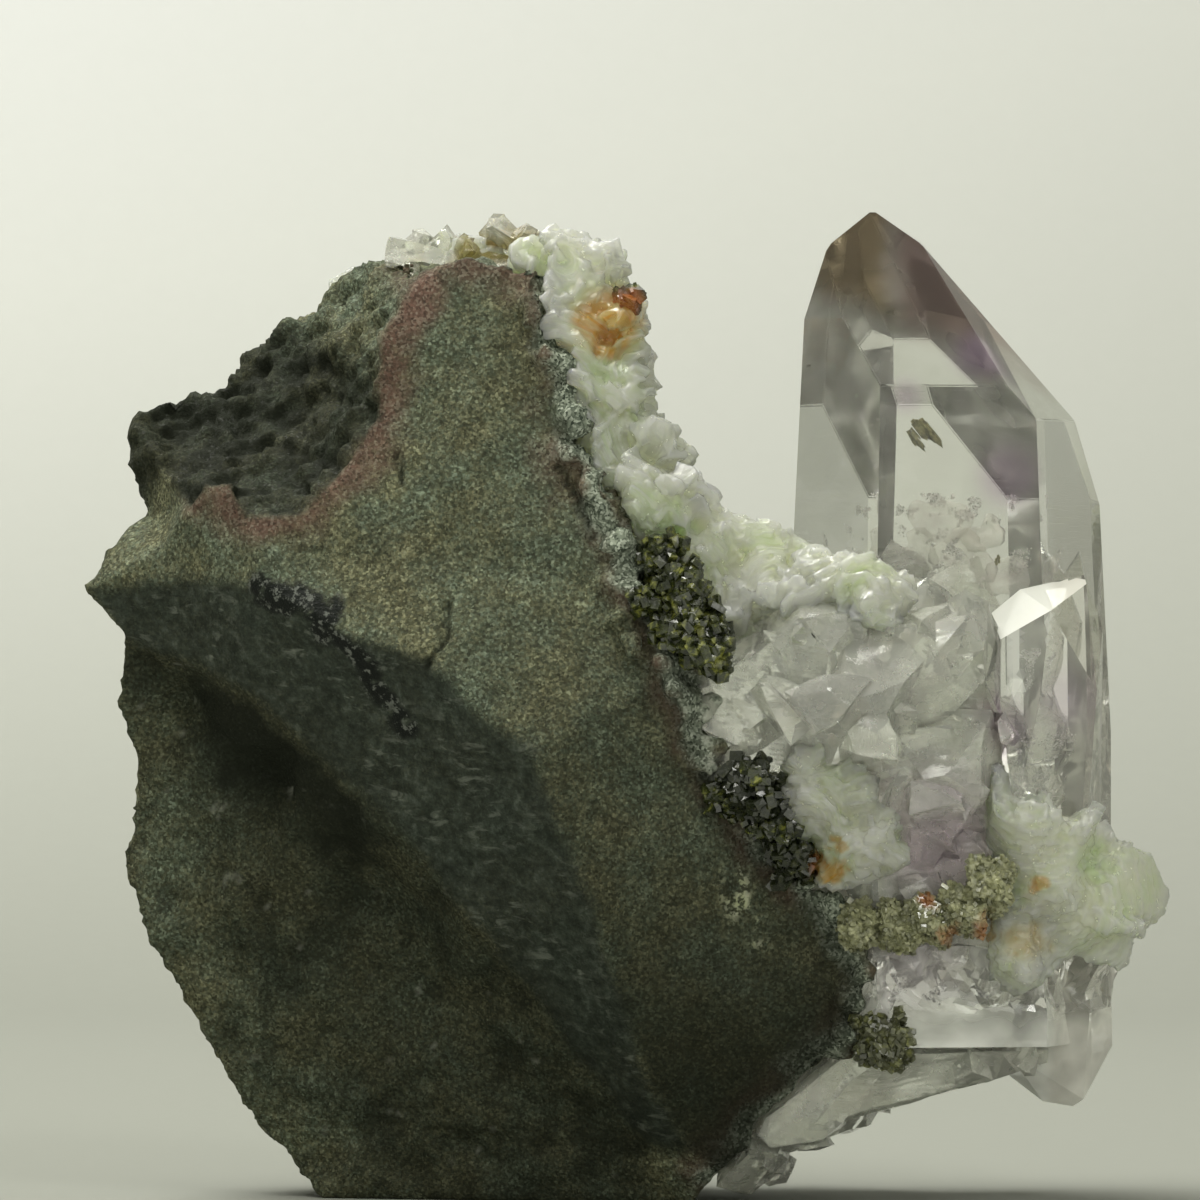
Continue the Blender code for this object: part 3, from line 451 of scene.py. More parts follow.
class Look:
    """A procedural material around one Principled shader."""

    def __init__(self, name, **values):
        self.material = bpy.data.materials.new(name)
        self.material.use_nodes = True
        self.tree = self.material.node_tree
        self.shader = self.tree.nodes["Principled BSDF"]
        for key, value in values.items():
            self.shader.inputs[key.replace("_", " ")].default_value = value
        coordinates = self.add("ShaderNodeTexCoord")
        scaled = self.add("ShaderNodeVectorMath", {0: coordinates.outputs["Object"]},
                          operation="SCALE")
        scaled.inputs["Scale"].default_value = 1.0 / MM
        self.place = scaled.outputs[0]

    def add(self, kind, inputs=(), **settings):
        return shader_node(self.tree, kind, inputs, **settings)

    def field(self, name):
        return self.add("ShaderNodeAttribute", attribute_name=name).outputs["Fac"]

    def noise(self, scale, detail=3.0, rough=0.55, distortion=0.0, vector=None):
        return self.add("ShaderNodeTexNoise", {
            "Vector": vector or self.place, "Scale": scale, "Detail": detail,
            "Roughness": rough, "Distortion": distortion}).outputs["Fac"]

    def cells(self, scale, output="Color", feature="F1", vector=None):
        return self.add("ShaderNodeTexVoronoi", {"Vector": vector or self.place, "Scale": scale},
                        feature=feature).outputs[output]

    def ramp(self, fac, *stops):
        made = self.add("ShaderNodeValToRGB", {"Fac": fac})
        ramp = made.color_ramp
        while len(ramp.elements) < len(stops):
            ramp.elements.new(0.5)
        for element, (position, value) in zip(ramp.elements, stops):
            element.position = position
            value = value if isinstance(value, tuple) else (value,) * 3
            element.color = (*value, 1.0)
        return made.outputs["Color"]

    def mix(self, fac, first, second, blend="MIX"):
        made = self.add("ShaderNodeMix", data_type="RGBA", blend_type=blend)
        for index, value in ((0, fac), (6, first), (7, second)):
            if isinstance(value, bpy.types.NodeSocket):
                self.tree.links.new(value, made.inputs[index])
            elif index:
                made.inputs[index].default_value = (*value, 1.0)
            else:
                made.inputs[index].default_value = value
        return made.outputs[2]

    def math(self, operation, first, second=0.0):
        made = self.add("ShaderNodeMath", {0: first, 1: second}, operation=operation)
        return made.outputs[0]

    def bump(self, height, distance, strength=1.0, normal=None):
        inputs = {"Height": height, "Distance": distance * MM, "Strength": strength}
        if normal is not None:
            inputs["Normal"] = normal
        return self.add("ShaderNodeBump", inputs).outputs["Normal"]

    def wire(self, **sockets):
        for key, socket in sockets.items():
            self.tree.links.new(socket, self.shader.inputs[key.replace("_", " ")])


def basalt_look():
    look = Look("basalt", Roughness=0.8, IOR=1.5, Specular_IOR_Level=0.12)
    grain = look.cells(7.0)
    shade = look.add("ShaderNodeSeparateColor", {"Color": grain}).outputs
    fine = look.noise(4.0, 4.0, 0.65)
    patches = look.noise(0.22, 4.0, 0.6)
    olive = look.ramp(shade["Red"], (0.0, (0.060, 0.055, 0.026)), (0.6, (0.180, 0.166, 0.086)),
                      (0.94, (0.37, 0.36, 0.21)))
    teal = look.ramp(shade["Green"], (0.0, (0.040, 0.056, 0.040)), (0.6, (0.130, 0.176, 0.124)),
                     (0.94, (0.31, 0.39, 0.29)))
    base = look.mix(look.ramp(patches, (0.38, 0.25), (0.62, 0.8)), teal, olive)
    base = look.mix(look.ramp(fine, (0.35, 0.75), (0.65, 0.0)), base, (0.036, 0.038, 0.024))
    flecks = look.ramp(look.noise(6.0, 2.0, 0.5), (0.72, 0.0), (0.80, 0.7))
    base = look.mix(flecks, base, (0.32, 0.33, 0.27))
    red_grain = look.ramp(shade["Green"], (0.0, (0.070, 0.044, 0.033)), (0.6, (0.165, 0.092, 0.070)),
                          (0.95, (0.22, 0.16, 0.125)))
    base = look.mix(look.field("red"), base, red_grain)
    green_grain = look.ramp(shade["Blue"], (0.0, (0.045, 0.058, 0.045)),
                            (0.6, (0.27, 0.31, 0.24)), (0.95, (0.60, 0.65, 0.54)))
    base = look.mix(look.field("rind"), base, green_grain)
    slip_grain = look.ramp(look.noise(1.6, 5.0, 0.7), (0.40, (0.026, 0.034, 0.027)),
                           (0.56, (0.050, 0.062, 0.050)), (0.72, (0.11, 0.130, 0.11)))
    drawn = look.add("ShaderNodeMapping", {"Vector": look.place, "Rotation": (0.0, 0.80, 0.0),
                                           "Scale": (0.45, 1.0, 1.9)}).outputs[0]
    drawn = look.noise(1.0, 4.0, 0.6, 0.6, vector=drawn)
    streaks = look.math("MULTIPLY", look.ramp(drawn, (0.56, 0.0), (0.66, 0.9)),
                        look.ramp(look.noise(0.35, 3.0), (0.45, 0.15), (0.60, 1.0)))
    slip_grain = look.mix(streaks, slip_grain, (0.20, 0.22, 0.185))
    slip_grain = look.mix(look.ramp(drawn, (0.30, 0.8), (0.42, 0.0)), slip_grain,
                          (0.018, 0.024, 0.020))
    base = look.mix(look.field("slip"), base, slip_grain)
    mottle = look.ramp(look.noise(0.8, 5.0, 0.65, 0.3), (0.30, 0.63), (0.5, 0.88), (0.70, 1.19))
    base = look.mix(1.0, base, mottle, "MULTIPLY")
    # Painted shade: the field darkens the rock towards near black on its shaded facets, in the dips of
    # the relief, in cracks and in the scoop, along with rock that is darker in tone
    base = look.mix(look.field("painted_shade_and_dark_tone"), base, (0.010, 0.012, 0.007))
    base = look.mix(look.field("pale"), base, (0.46, 0.47, 0.40))
    speckles = look.ramp(look.noise(2.6, 3.0, 0.6), (0.50, 0.0), (0.58, 1.0))
    lime = look.mix(look.noise(1.4, 2.0), (0.26, 0.30, 0.10), (0.50, 0.50, 0.42))
    base = look.mix(look.math("MULTIPLY", look.field("lime"), speckles), base, lime)
    tar = look.mix(look.ramp(look.noise(2.2, 4.0, 0.7), (0.53, 0.0), (0.60, 0.9)),
                   (0.006, 0.008, 0.006), (0.15, 0.16, 0.14))
    base = look.mix(look.field("tar"), base, tar)
    gloss = look.ramp(shade["Blue"], (0.0, 0.85), (0.85, 0.7), (0.96, 0.35))
    gloss = look.mix(look.field("tar"), gloss, (0.3, 0.3, 0.3))
    height = look.math("ADD", look.math("MULTIPLY", shade["Red"], 0.4),
                       look.math("MULTIPLY", look.noise(5.5, 4.0, 0.65), 1.2))
    look.wire(Base_Color=base, Roughness=gloss, Normal=look.bump(height, 0.10, 0.9))
    return look.material


def clear_look():
    look = Look("amethyst_clear", Base_Color=(0.97, 0.96, 0.97, 1.0), Roughness=0.0, IOR=1.544)
    look.shader.inputs["Transmission Weight"].default_value = 1.0
    # the smoke field holds the smoky tip and painted shade on the right prism face
    tint = look.mix(look.field("smoke"), (0.93, 0.935, 0.89), (0.26, 0.16, 0.06))
    tint = look.mix(look.field("mauve"), tint, (0.32, 0.19, 0.17))
    tint = look.mix(look.field("violet"), tint, (0.58, 0.40, 0.62))
    stretched = look.add("ShaderNodeVectorMath", {0: look.place, 1: (0.12, 0.12, 3.0)},
                         operation="MULTIPLY").outputs[0]
    lines = look.noise(1.0, 3.0, vector=stretched)
    steps = look.ramp(lines, (0.40, 0.0), (0.42, 0.5), (0.60, 0.5), (0.62, 1.0))
    # The field lowers the transmission for milky haze, and for painted light: the whitened ledge
    # highlight and the whitened lower tip
    clear = look.math("SUBTRACT", 1.0, look.field("haze_and_painted_light"))
    look.wire(Base_Color=tint, Transmission_Weight=clear, Normal=look.bump(steps, 0.01, 0.12))
    return look.material


def cloudy_look():
    look = Look("quartz_cloudy", Roughness=0.06, IOR=1.544)
    look.shader.inputs["Transmission Weight"].default_value = 0.74
    tint = look.ramp(look.noise(0.35, 3.0), (0.35, (0.97, 0.99, 0.90)), (0.65, (0.95, 0.94, 0.88)))
    tint = look.mix(look.field("violet"), tint, (0.90, 0.81, 0.84))
    tint = look.mix(look.field("stain"), tint, (0.40, 0.33, 0.12))
    rough = look.ramp(look.noise(0.7, 4.0), (0.40, 0.03), (0.62, 0.32))
    arcs = look.add("ShaderNodeTexWave", {"Vector": look.place, "Scale": 0.9, "Distortion": 5.0,
                                          "Detail": 2.0, "Detail Scale": 0.4},
                    wave_type="RINGS").outputs["Fac"]
    look.wire(Base_Color=tint, Roughness=rough, Normal=look.bump(
        arcs, 0.02, 0.32, look.bump(look.noise(1.3, 4.0), 0.06, 0.45)))
    return look.material


def veil_look(name, clear, bend):
    look = Look(name, Roughness=0.25, IOR=bend)
    look.shader.inputs["Transmission Weight"].default_value = clear
    look.wire(Base_Color=look.ramp(look.noise(0.9, 3.0), (0.4, (0.98, 0.98, 0.94)),
                                   (0.65, (0.90, 0.88, 0.86))))
    return look.material


def prehnite_look():
    look = Look("prehnite", Roughness=0.15, IOR=1.62, Subsurface_Weight=1.0,
                Subsurface_Scale=0.003)
    look.shader.inputs["Transmission Weight"].default_value = 0.50
    look.shader.inputs["Subsurface Radius"].default_value = (1.0, 1.0, 0.8)
    lengthwise = look.add("ShaderNodeCombineXYZ", {
        "X": look.math("MULTIPLY", look.field("across"), 7.0),
        "Y": look.math("MULTIPLY", look.field("along"), 0.7)}).outputs[0]
    fibres = look.noise(1.0, 3.0, 0.6, vector=lengthwise)
    tint = look.ramp(look.noise(0.28, 4.0), (0.36, (0.74, 0.88, 0.55)), (0.50, (0.86, 0.94, 0.69)),
                     (0.66, (0.94, 0.97, 0.80)))
    tint = look.mix(look.ramp(fibres, (0.42, 0.0), (0.66, 0.5)), tint, (0.97, 0.98, 0.89))
    stain = look.math("MULTIPLY", look.field("rust"), look.ramp(fibres, (0.35, 0.6), (0.6, 1.0)))
    tint = look.mix(stain, tint, (0.74, 0.36, 0.04))
    rough = look.ramp(look.noise(2.0), (0.4, 0.08), (0.7, 0.3))
    look.wire(Base_Color=tint, Roughness=rough, Normal=look.bump(
        fibres, 0.14, 1.0, look.bump(look.noise(2.4, 3.0), 0.05, 0.3)))
    return look.material


def epidote_look():
    look = Look("epidote", Roughness=0.2, IOR=1.74)
    tint = look.ramp(look.noise(1.6, 3.0), (0.38, (0.011, 0.015, 0.004)),
                     (0.54, (0.050, 0.060, 0.012)), (0.66, (0.30, 0.31, 0.06)))
    pale = look.ramp(look.noise(1.9, 3.0), (0.35, (0.16, 0.165, 0.085)), (0.65, (0.55, 0.55, 0.33)))
    tint = look.mix(look.field("pale"), tint, pale)
    tint = look.mix(look.field("painted_shade_and_dark_tone"), tint, (0.010, 0.013, 0.005))
    tint = look.mix(look.field("rust"), tint, (0.36, 0.11, 0.025))
    look.wire(Base_Color=tint, Roughness=look.ramp(look.noise(4.0), (0.4, 0.15), (0.7, 0.5)))
    return look.material


# Basalt

def rim_lumps():
    """Grains of altered rock that fill the cleft between the rock and its crusts."""
    rng = np.random.default_rng(3)
    points = rng.uniform((-12.0, -15.5, 2.0), (15.0, 15.5, 53.5), (60000, 3))
    points = points[line_distance(points[:, [0, 2]], CAVITY_EDGE) < 2.6]
    near_rock = clear_of("basalt_matrix", points, 0.0) & ~clear_of("basalt_matrix", points, 1.0)
    points = points[near_rock]
    near_crust = np.zeros(len(points), bool)
    for node in ("prehnite_crust", "quartz_druse_top", "epidote_upper", "amethyst_crystal"):
        near_crust |= clear_of(node, points, 0.0) & ~clear_of(node, points, 1.6)
    points = points[near_crust][:4000]
    radius = rng.uniform(0.3, 0.6, len(points))
    return prism_mesh(points - np.array((0.0, 0.0, 1.0)) * radius[:, None],
                      rng.normal(scale=0.3, size=points.shape) + (0.0, 0.0, 1.0),
                      2.0 * radius, 2.0 * radius, rng, 0.9, 0.4)


def build_basalt():
    places, normals, faces = skin(*joined(node_parts("basalt_matrix"), rim_lumps()), ROCK_VOXEL)
    flat = places[:, [0, 2]]
    ragged = flat + 0.9 * np.stack([layered(places, 2.2, 5), layered(places, 2.2, 9)], axis=1)
    front = fade(-normals[:, 1], -0.15, 0.35) * fade(-places[:, 1], -3.0, 0.5)
    slip = within(ragged * 0.4 + flat * 0.6, SLIP_TOP + SLIP_FOOT[::-1], 0.5) * front
    lower = within(flat, SLIP_FOOT + [(2.0, -2.0), (-20.0, -2.0), (-32.0, 10.0), (-32.0, 32.1)], 0.8)
    lower = lower * front
    facet = FACET_RIM[:-1] + SLIP_TOP[:7] + FACE_RIDGE[1:] + CAVITY_EDGE[8::-1] + TOP_EDGE[::-1]
    upper = within(flat, facet, 0.4) * front
    right = within(flat, SLIP_TOP[6:] + CAVITY_EDGE[:7:-1] + FACE_RIDGE[::-1], 0.4) * front
    rough = np.clip(1.0 - upper - right - slip - 0.5 * lower, 0.0, 1.0)

    coarse = layered(places, 5.0, 21)
    medium = layered(places, 1.7, 31)
    fine = layered(places, 0.6, 41, octaves=3)
    ledges = np.abs(layered(places * np.array((1.0, 1.0, 1.7)), 3.2, 51))
    along = flat @ np.array((0.70, -0.71))
    across = flat @ np.array((0.71, 0.70))
    streaks = layered(np.stack([along * 0.16, across * 1.3, places[:, 1] * 0.5], axis=1), 1.0, 61)
    blocks = np.abs(layered(places * np.array((1.0, 1.0, 1.4)), 1.5, 55, octaves=2))
    depth = (rough * (0.22 + 0.40 * coarse + 0.48 * medium + 0.38 * fine - 0.6 * ledges - 0.2 * blocks)
             + (upper + right) * (0.16 * coarse + 0.08 * medium + 0.045 * fine)
             + slip * (0.13 * streaks + 0.02 * fine)
             + lower * (0.18 * coarse + 0.16 * medium + 0.07 * fine))
    depth *= 1.0 - 0.55 * fade(-places[:, 2] - 0.3 * places[:, 0], -38.0, -30.0)
    cracks = np.min([line_distance(flat + 0.25 * np.stack(
        [layered(places, 1.0, 161), layered(places, 1.0, 163)], axis=1), crack)
                     for crack in CRACKS], axis=0)
    depth -= 0.3 * fade(-cracks, -0.35, -0.05) * front
    depth *= fade(places[:, 2], 0.1, 1.5)
    places = places + normals * depth[:, None]
    places[:, 2] = np.maximum(places[:, 2], 0.0)
    item = piece("basalt", places, faces, basalt_look(), "basalt", ["basalt_matrix"], smooth=True)
    mesh = item.data

    rim = line_distance(ragged, CAVITY_EDGE)
    left_rim = line_distance(ragged, FACET_RIM[:9])
    top_rim = line_distance(ragged, TOP_EDGE)
    blotch = layered(places, 3.0, 71)
    red = fade(-rim, -2.8, -0.8) * fade(rim, 0.2, 0.9) * fade(blotch, -0.8, 0.6) * 0.85
    red = np.maximum(red, fade(-left_rim, -2.6, -0.4) * upper * 0.92)
    red = np.maximum(red, fade(-top_rim, -2.4, -0.4) * 0.7)
    band = fade(flat[:, 1], 20.0, 26.0) * fade(-flat[:, 1], -50.0, -36.0)
    red *= 1.0 - 0.35 * band * fade(layered(places, 1.4, 75), -0.6, 0.8)
    red *= fade(layered(places, 0.5, 77, octaves=2), -1.4, 0.3) * 0.3 + 0.7
    store(mesh, "red", red * front)
    rind = fade(-rim, -1.5, -0.4) + (1.0 - front) * fade(places[:, 0] + 0.25 * places[:, 2], 4.0, 9.0)
    store(mesh, "rind", np.clip(rind, 0.0, 1.0) * 0.85)
    store(mesh, "slip", slip * 0.85)
    # Painted shade, with rock that is darker in tone: the lower facets and the cleft among them, the
    # scoop of the rough top left, the right facet and most its lower part, the dips of the relief and the
    # cracks are darkened; the slip band and the lower left of the front facet are darker too
    cleft = line_distance(flat, [(-21.8, 26.6), (-20.0, 24.8), (-17.0, 24.0), (-15.0, 22.6)])
    low_right_shade = right * fade(-places[:, 2], -22.0, -6.0) * 0.42
    hollow_shade = fade(-medium - 0.6 * coarse, 0.0, 0.9) * rough * 0.4
    shaded = rough * fade(-places[:, 0], 8.5, 11.0) * fade(places[:, 2], 34.0, 38.0) * (
        0.80 - 0.8 * fade(places[:, 2] + 0.55 * places[:, 0], 38.0, 41.5))
    painted_shade_and_dark_tone = (lower * (0.63 + 0.31 * fade(-cleft, -5.0, -0.5)) + shaded + low_right_shade
            + slip * 0.24 + right * 0.42 + hollow_shade + 0.8 * fade(-cracks, -0.25, -0.05) * front
            + upper * 0.26 * fade(-flat[:, 1] + 0.3 * flat[:, 0], -36.0, -29.0))
    store(mesh, "painted_shade_and_dark_tone", np.clip(painted_shade_and_dark_tone, 0.0, 0.96))
    spots = fade(layered(places, 0.8, 81), 0.75, 1.0)
    contact = line_distance(flat, [(5.4, 31.0), (5.2, 28.0), (5.6, 24.5)])
    pale = np.clip(fade(-contact, -0.9, -0.2) * fade(layered(places, 0.7, 83), -0.2, 0.5)
                   + 0.25 * spots * lower, 0.0, 1.0)
    store(mesh, "pale", pale)
    lime = line_distance(flat, [(6.4, 18.4), (7.6, 15.6)])
    store(mesh, "lime", fade(-lime, -1.5, -0.2) * fade(layered(places, 0.9, 87), -0.1, 0.5) * front)
    tar = np.minimum(line_distance(ragged, [(-19.2, 34.2), (-15.6, 33.4)]) - 0.9,
                     line_distance(ragged, [(-16.6, 32.6), (-13.4, 29.2), (-11.6, 26.6)]) - 0.3)
    tar = fade(-tar, -0.5, -0.1) * fade(layered(places, 0.9, 91), -0.9, -0.4) * front
    store(mesh, "tar", np.clip(tar - fade(layered(places, 0.7, 95), 0.45, 0.6), 0.0, 1.0))

    return item


# Crystals

VIOLET = [          # where the crystals are violet: x, y, z, reach and strength
    (20.6, -5.5, 47.6, 2.6, 0.9), (16.1, -7.2, 45.5, 1.5, 0.8), (22.0, -7.0, 41.2, 2.6, 0.8),
    (21.6, -8.5, 27.2, 2.6, 1.0), (18.0, -8.5, 21.0, 5.0, 0.9), (27.0, -2.0, 29.0, 5.0, 0.35),
    (14.0, -9.0, 30.0, 4.0, 0.25), (24.5, -8.0, 28.5, 3.0, 0.45), (16.5, -7.5, 14.0, 4.5, 0.3)]


def prism_side(number):
    """The level direction that a side of the main crystal faces."""
    turn = math.radians(CRYSTAL_SPIN - 90.0 + 60.0 * number)
    return np.array((math.cos(turn), math.sin(turn)))


def heap_cutter():
    """The room of the broken quartz, which leaves out the main crystal's prism."""
    count = len(HEAP_OUTLINE)
    block = np.array([(x, y, z) for y in HEAP_DEPTH for x, z in HEAP_OUTLINE])
    sides = [(n, (n + 1) % count, count + (n + 1) % count, count + n) for n in range(count)]
    sides += [tuple(range(count))[::-1], tuple(range(count, 2 * count))]
    corners = []
    for number in range(6):
        first, second = prism_side(number), prism_side((number + 1) % 6)
        reach = np.array((PRISM_REACH[number], PRISM_REACH[(number + 1) % 6])) + 0.03
        corners.append(np.linalg.solve(np.stack((first, second)), reach) + np.array(AXIS))
    prism = np.array([(*corner, z) for z in (10.0, 40.0) for corner in corners])
    walls = [(n, (n + 1) % 6, 6 + (n + 1) % 6, 6 + n) for n in range(6)]
    walls += [tuple(range(6))[::-1], tuple(range(6, 12))]
    mesh = boolean(closed_object(block, sides), "DIFFERENCE", [closed_object(prism, walls)])
    places, faces, _ = taken_apart(mesh)
    return closed_object(places, faces)


def bent(places, amount, size, seed):
    """Points moved a little by smooth noise, so that flat breaks become curved ones."""
    moves = np.stack([layered(places, size, seed + axis, octaves=2) for axis in range(3)], axis=1)
    return places + amount * moves


def violet_at(places):
    value = np.zeros(len(places))
    for spot in VIOLET:
        away = np.linalg.norm(places - np.array(spot[:3]), axis=1)
        value = np.maximum(value, spot[4] * fade(-away, -spot[3], -spot[3] * 0.3))
    return value


def finely_cut(places, faces, longest):
    """The same surface as triangles with short edges."""
    mesh = bpy.data.meshes.new("cut")
    mesh.from_pydata(places.tolist(), [], faces)
    bm = bmesh.new()
    bm.from_mesh(mesh)
    bmesh.ops.triangulate(bm, faces=bm.faces[:])
    for _ in range(6):
        long_edges = [edge for edge in bm.edges if edge.calc_length() > longest]
        if not long_edges:
            break
        bmesh.ops.subdivide_edges(bm, edges=long_edges, cuts=1)
        bmesh.ops.triangulate(bm, faces=bm.faces[:])
    bm.to_mesh(mesh)
    bm.free()
    places, faces, _ = taken_apart(mesh)
    return places, faces


def build_amethyst():
    mesh = boolean(closed_object(*node_parts("amethyst_crystal")), "DIFFERENCE", [heap_cutter()])
    bm = bmesh.new()
    bm.from_mesh(mesh)
    top = max(vert.co.z for vert in bm.verts)
    geometry = bm.verts[:] + bm.edges[:] + bm.faces[:]
    bmesh.ops.bisect_plane(bm, geom=geometry, plane_co=(0.0, 0.0, top - TIP_WORN),
                           plane_no=(-0.05, -0.1, 1.0), clear_outer=True)
    bmesh.ops.holes_fill(bm, edges=[edge for edge in bm.edges if edge.is_boundary])
    bmesh.ops.dissolve_limit(bm, angle_limit=math.radians(0.4), verts=bm.verts[:],
                             edges=bm.edges[:])
    sharp = [edge for edge in bm.edges if min(vert.co.z for vert in edge.verts) > 37.5
             and edge.calc_length() > 1.0 and edge.calc_face_angle(0.0) > 0.15]
    bmesh.ops.bevel(bm, geom=sharp, offset=0.07, segments=2, affect="EDGES",
                    clamp_overlap=True)
    bm.to_mesh(mesh)
    bm.free()
    places, faces, _ = taken_apart(mesh)
    places, faces = finely_cut(places, faces, 0.7)
    x, z = places[:, 0], places[:, 2]
    waves = bent(places, 0.50, 1.9, 181) - places
    broken = fade(-z, -17.5, -15.0) * fade(z, 10.8, 12.0)
    item = piece("amethyst", places + waves * broken[:, None], faces, clear_look(), "amethyst",
                 ["amethyst_crystal"], smooth=True)
    item.data.set_sharp_from_angle(angle=math.radians(9.0))
    level = z + 0.35 * (x - 14.0) + 0.6 * layered(places, 2.0, 131)
    smoke = fade(level, 48.8, 51.6)
    mauve = fade(x + 0.4 * layered(places, 1.5, 133), 14.6, 16.6)
    # Painted shade: the right prism face is dulled towards brown through the smoke field, besides the
    # smoky tip
    right_face_shade = 0.13 * fade(x, 24.0, 24.8) * fade(-z, -44.0, -38.0)
    store(item.data, "smoke", np.maximum(smoke * (1.0 - mauve) * 0.95, right_face_shade * 1.6))
    store(item.data, "mauve", smoke * mauve * 0.95)
    store(item.data, "violet", violet_at(places))
    # Milky haze, more in the lower part and on the broken foot; the lower tip is whitened almost fully,
    # painted brightness for the light that passes through it
    haze_and_painted_light = 0.09 + 0.12 * fade(-z, -38.0, -30.0) + 0.8 * fade(-z, -11.5, -9.5)
    haze_and_painted_light += broken * (0.03 + 0.45 * fade(layered(places * (1.0, 1.0, 0.5), 0.8, 191), 0.1, 0.7))
    haze_and_painted_light *= 0.75 + 0.5 * layered(places, 2.5, 137, octaves=3)
    paint_ledge_highlight(item.data, places, haze_and_painted_light)


def paint_ledge_highlight(mesh, places, haze_and_painted_light):
    """Stores the haze at the corners of the faces, with a painted highlight: the top of the small
    crystal's ledge is whitened, and the face below it is whitened in stripes.
    """
    count = len(mesh.polygons)
    normals, middles = np.empty(3 * count), np.empty(3 * count)
    mesh.polygons.foreach_get("normal", normals)
    mesh.polygons.foreach_get("center", middles)
    normals = normals.reshape(-1, 3)
    middles = middles.reshape(-1, 3) / MM + DRAWN_AT
    on_ledge = (normals[:, 2] > 0.55) & (normals[:, 1] < -0.3) & (middles[:, 0] > 20.2)
    on_ledge &= (middles[:, 2] > 31.0) & (middles[:, 2] < 35.6) & (middles[:, 1] < -7.0)
    below = within(middles[:, [0, 2]], LEDGE_FACE, 0.5) * (normals[:, 1] < -0.7)
    stripes = fade(layered(middles * (2.2, 0.1, 0.25), 1.0, 193, octaves=2), -0.2, 0.4)
    # painted highlight on the ledge top, where it should mirror the lamp; the face below is whitened in
    # stripes
    ledge_highlight = np.where(on_ledge, 0.8, below * (0.2 + 0.4 * stripes))
    corners = np.empty(len(mesh.loops), np.int32)
    mesh.loops.foreach_get("vertex_index", corners)
    totals = np.empty(count, np.int32)
    mesh.polygons.foreach_get("loop_total", totals)
    layer = mesh.attributes.new("haze_and_painted_light", "FLOAT", "CORNER")
    layer.data.foreach_set("value", np.maximum(haze_and_painted_light[corners], np.repeat(ledge_highlight, totals)).astype(
        np.float32))


def build_heap():
    """The heap of broken glassy quartz in front of the main crystal, with its splinters."""
    rng = np.random.default_rng(17)
    core = boolean(closed_object(*node_parts("amethyst_crystal")), "INTERSECT", [heap_cutter()])
    places, faces, _ = taken_apart(core)
    points, normals = surface_points("amethyst_crystal", 9000, 2.0, 24)
    keep = inside(points[:, [0, 2]], HEAP_OUTLINE) & (points[:, 2] < 34.6)
    away = np.max([(points[:, :2] - AXIS) @ prism_side(number) - PRISM_REACH[number]
                   for number in range(6)], axis=0)
    keep &= (away > 0.3) & ~((points[:, 0] > 19.6) & (points[:, 2] > 29.5))
    for node in ("basalt_matrix", "epidote_upper", "epidote_middle"):
        keep &= clear_of(node, points + normals * 0.6, 1.3)
    points, normals = points[keep], normals[keep]
    axes = unit(normals * 0.5 + np.array((0.15, -0.1, 0.55))
                + rng.normal(scale=0.45, size=normals.shape))
    lengths = rng.uniform(1.8, 4.2, len(points))
    shards = prism_mesh(points - axes * (0.86 * lengths)[:, None], axes, lengths,
                        lengths * rng.uniform(0.6, 1.1, len(points)), rng, 0.7, 0.45, 0.24)
    mesh = fused((places, faces), *shards, 9)
    places, faces, _ = taken_apart(mesh)
    places, faces = finely_cut(places, faces, 0.6)
    item = piece("amethyst_heap", bent(places, 0.22, 2.6, 141), faces, cloudy_look(), "amethyst",
                 ["amethyst_crystal"], smooth=True)
    item.data.set_sharp_from_angle(angle=math.radians(24.0))
    store(item.data, "violet", violet_at(places))


VEILS = [       # middle, the way that it faces, reach and how many flakes
    ((19.5, -2.5, 35.0), (0.3, -0.7, 0.6), 5.5, 2600), ((16.0, -3.5, 31.0), (0.5, -0.8, 0.3), 5.5, 2600),
    ((21.5, 0.0, 31.5), (-0.5, -0.6, 0.6), 5.0, 2200), ((18.5, -3.0, 26.0), (0.2, -0.9, 0.5), 6.0, 2400),
    ((22.5, -2.0, 24.0), (-0.3, -0.8, 0.5), 4.5, 1600), ((18.5, -3.5, 15.5), (0.2, -0.9, 0.4), 6.0, 3000),
    ((22.0, -1.0, 14.0), (-0.4, -0.6, 0.7), 5.0, 2200), ((14.5, -1.0, 36.5), (0.6, -0.7, 0.2), 3.0, 900),
    ((18.8, -3.0, 38.2), (0.1, -1.0, 0.4), 4.2, 3000), ((25.8, -4.0, 12.5), (0.5, -0.8, 0.2), 2.6, 900)]


SHEETS = [      # open cracks in the crystal: middle, the way that they face and reach
    ((18.0, -3.6, 38.6), (0.3, -0.8, 0.5), 1.9), ((20.4, -3.2, 37.6), (-0.5, -0.7, 0.5), 1.6),
    ((19.2, -2.4, 36.4), (0.1, -0.9, 0.6), 2.2), ((16.8, -3.0, 36.8), (0.5, -0.8, 0.3), 1.4),
    ((21.6, -2.0, 35.4), (-0.2, -0.8, 0.6), 1.6), ((17.6, -4.0, 15.2), (0.3, -0.9, 0.4), 2.0),
    ((20.4, -3.6, 14.2), (-0.3, -0.9, 0.3), 2.1), ((15.6, -3.0, 13.8), (0.6, -0.7, 0.3), 1.6),
    ((22.6, -2.6, 13.0), (-0.4, -0.8, 0.5), 1.4), ((18.8, -3.4, 12.8), (0.1, -0.8, 0.7), 1.8)]


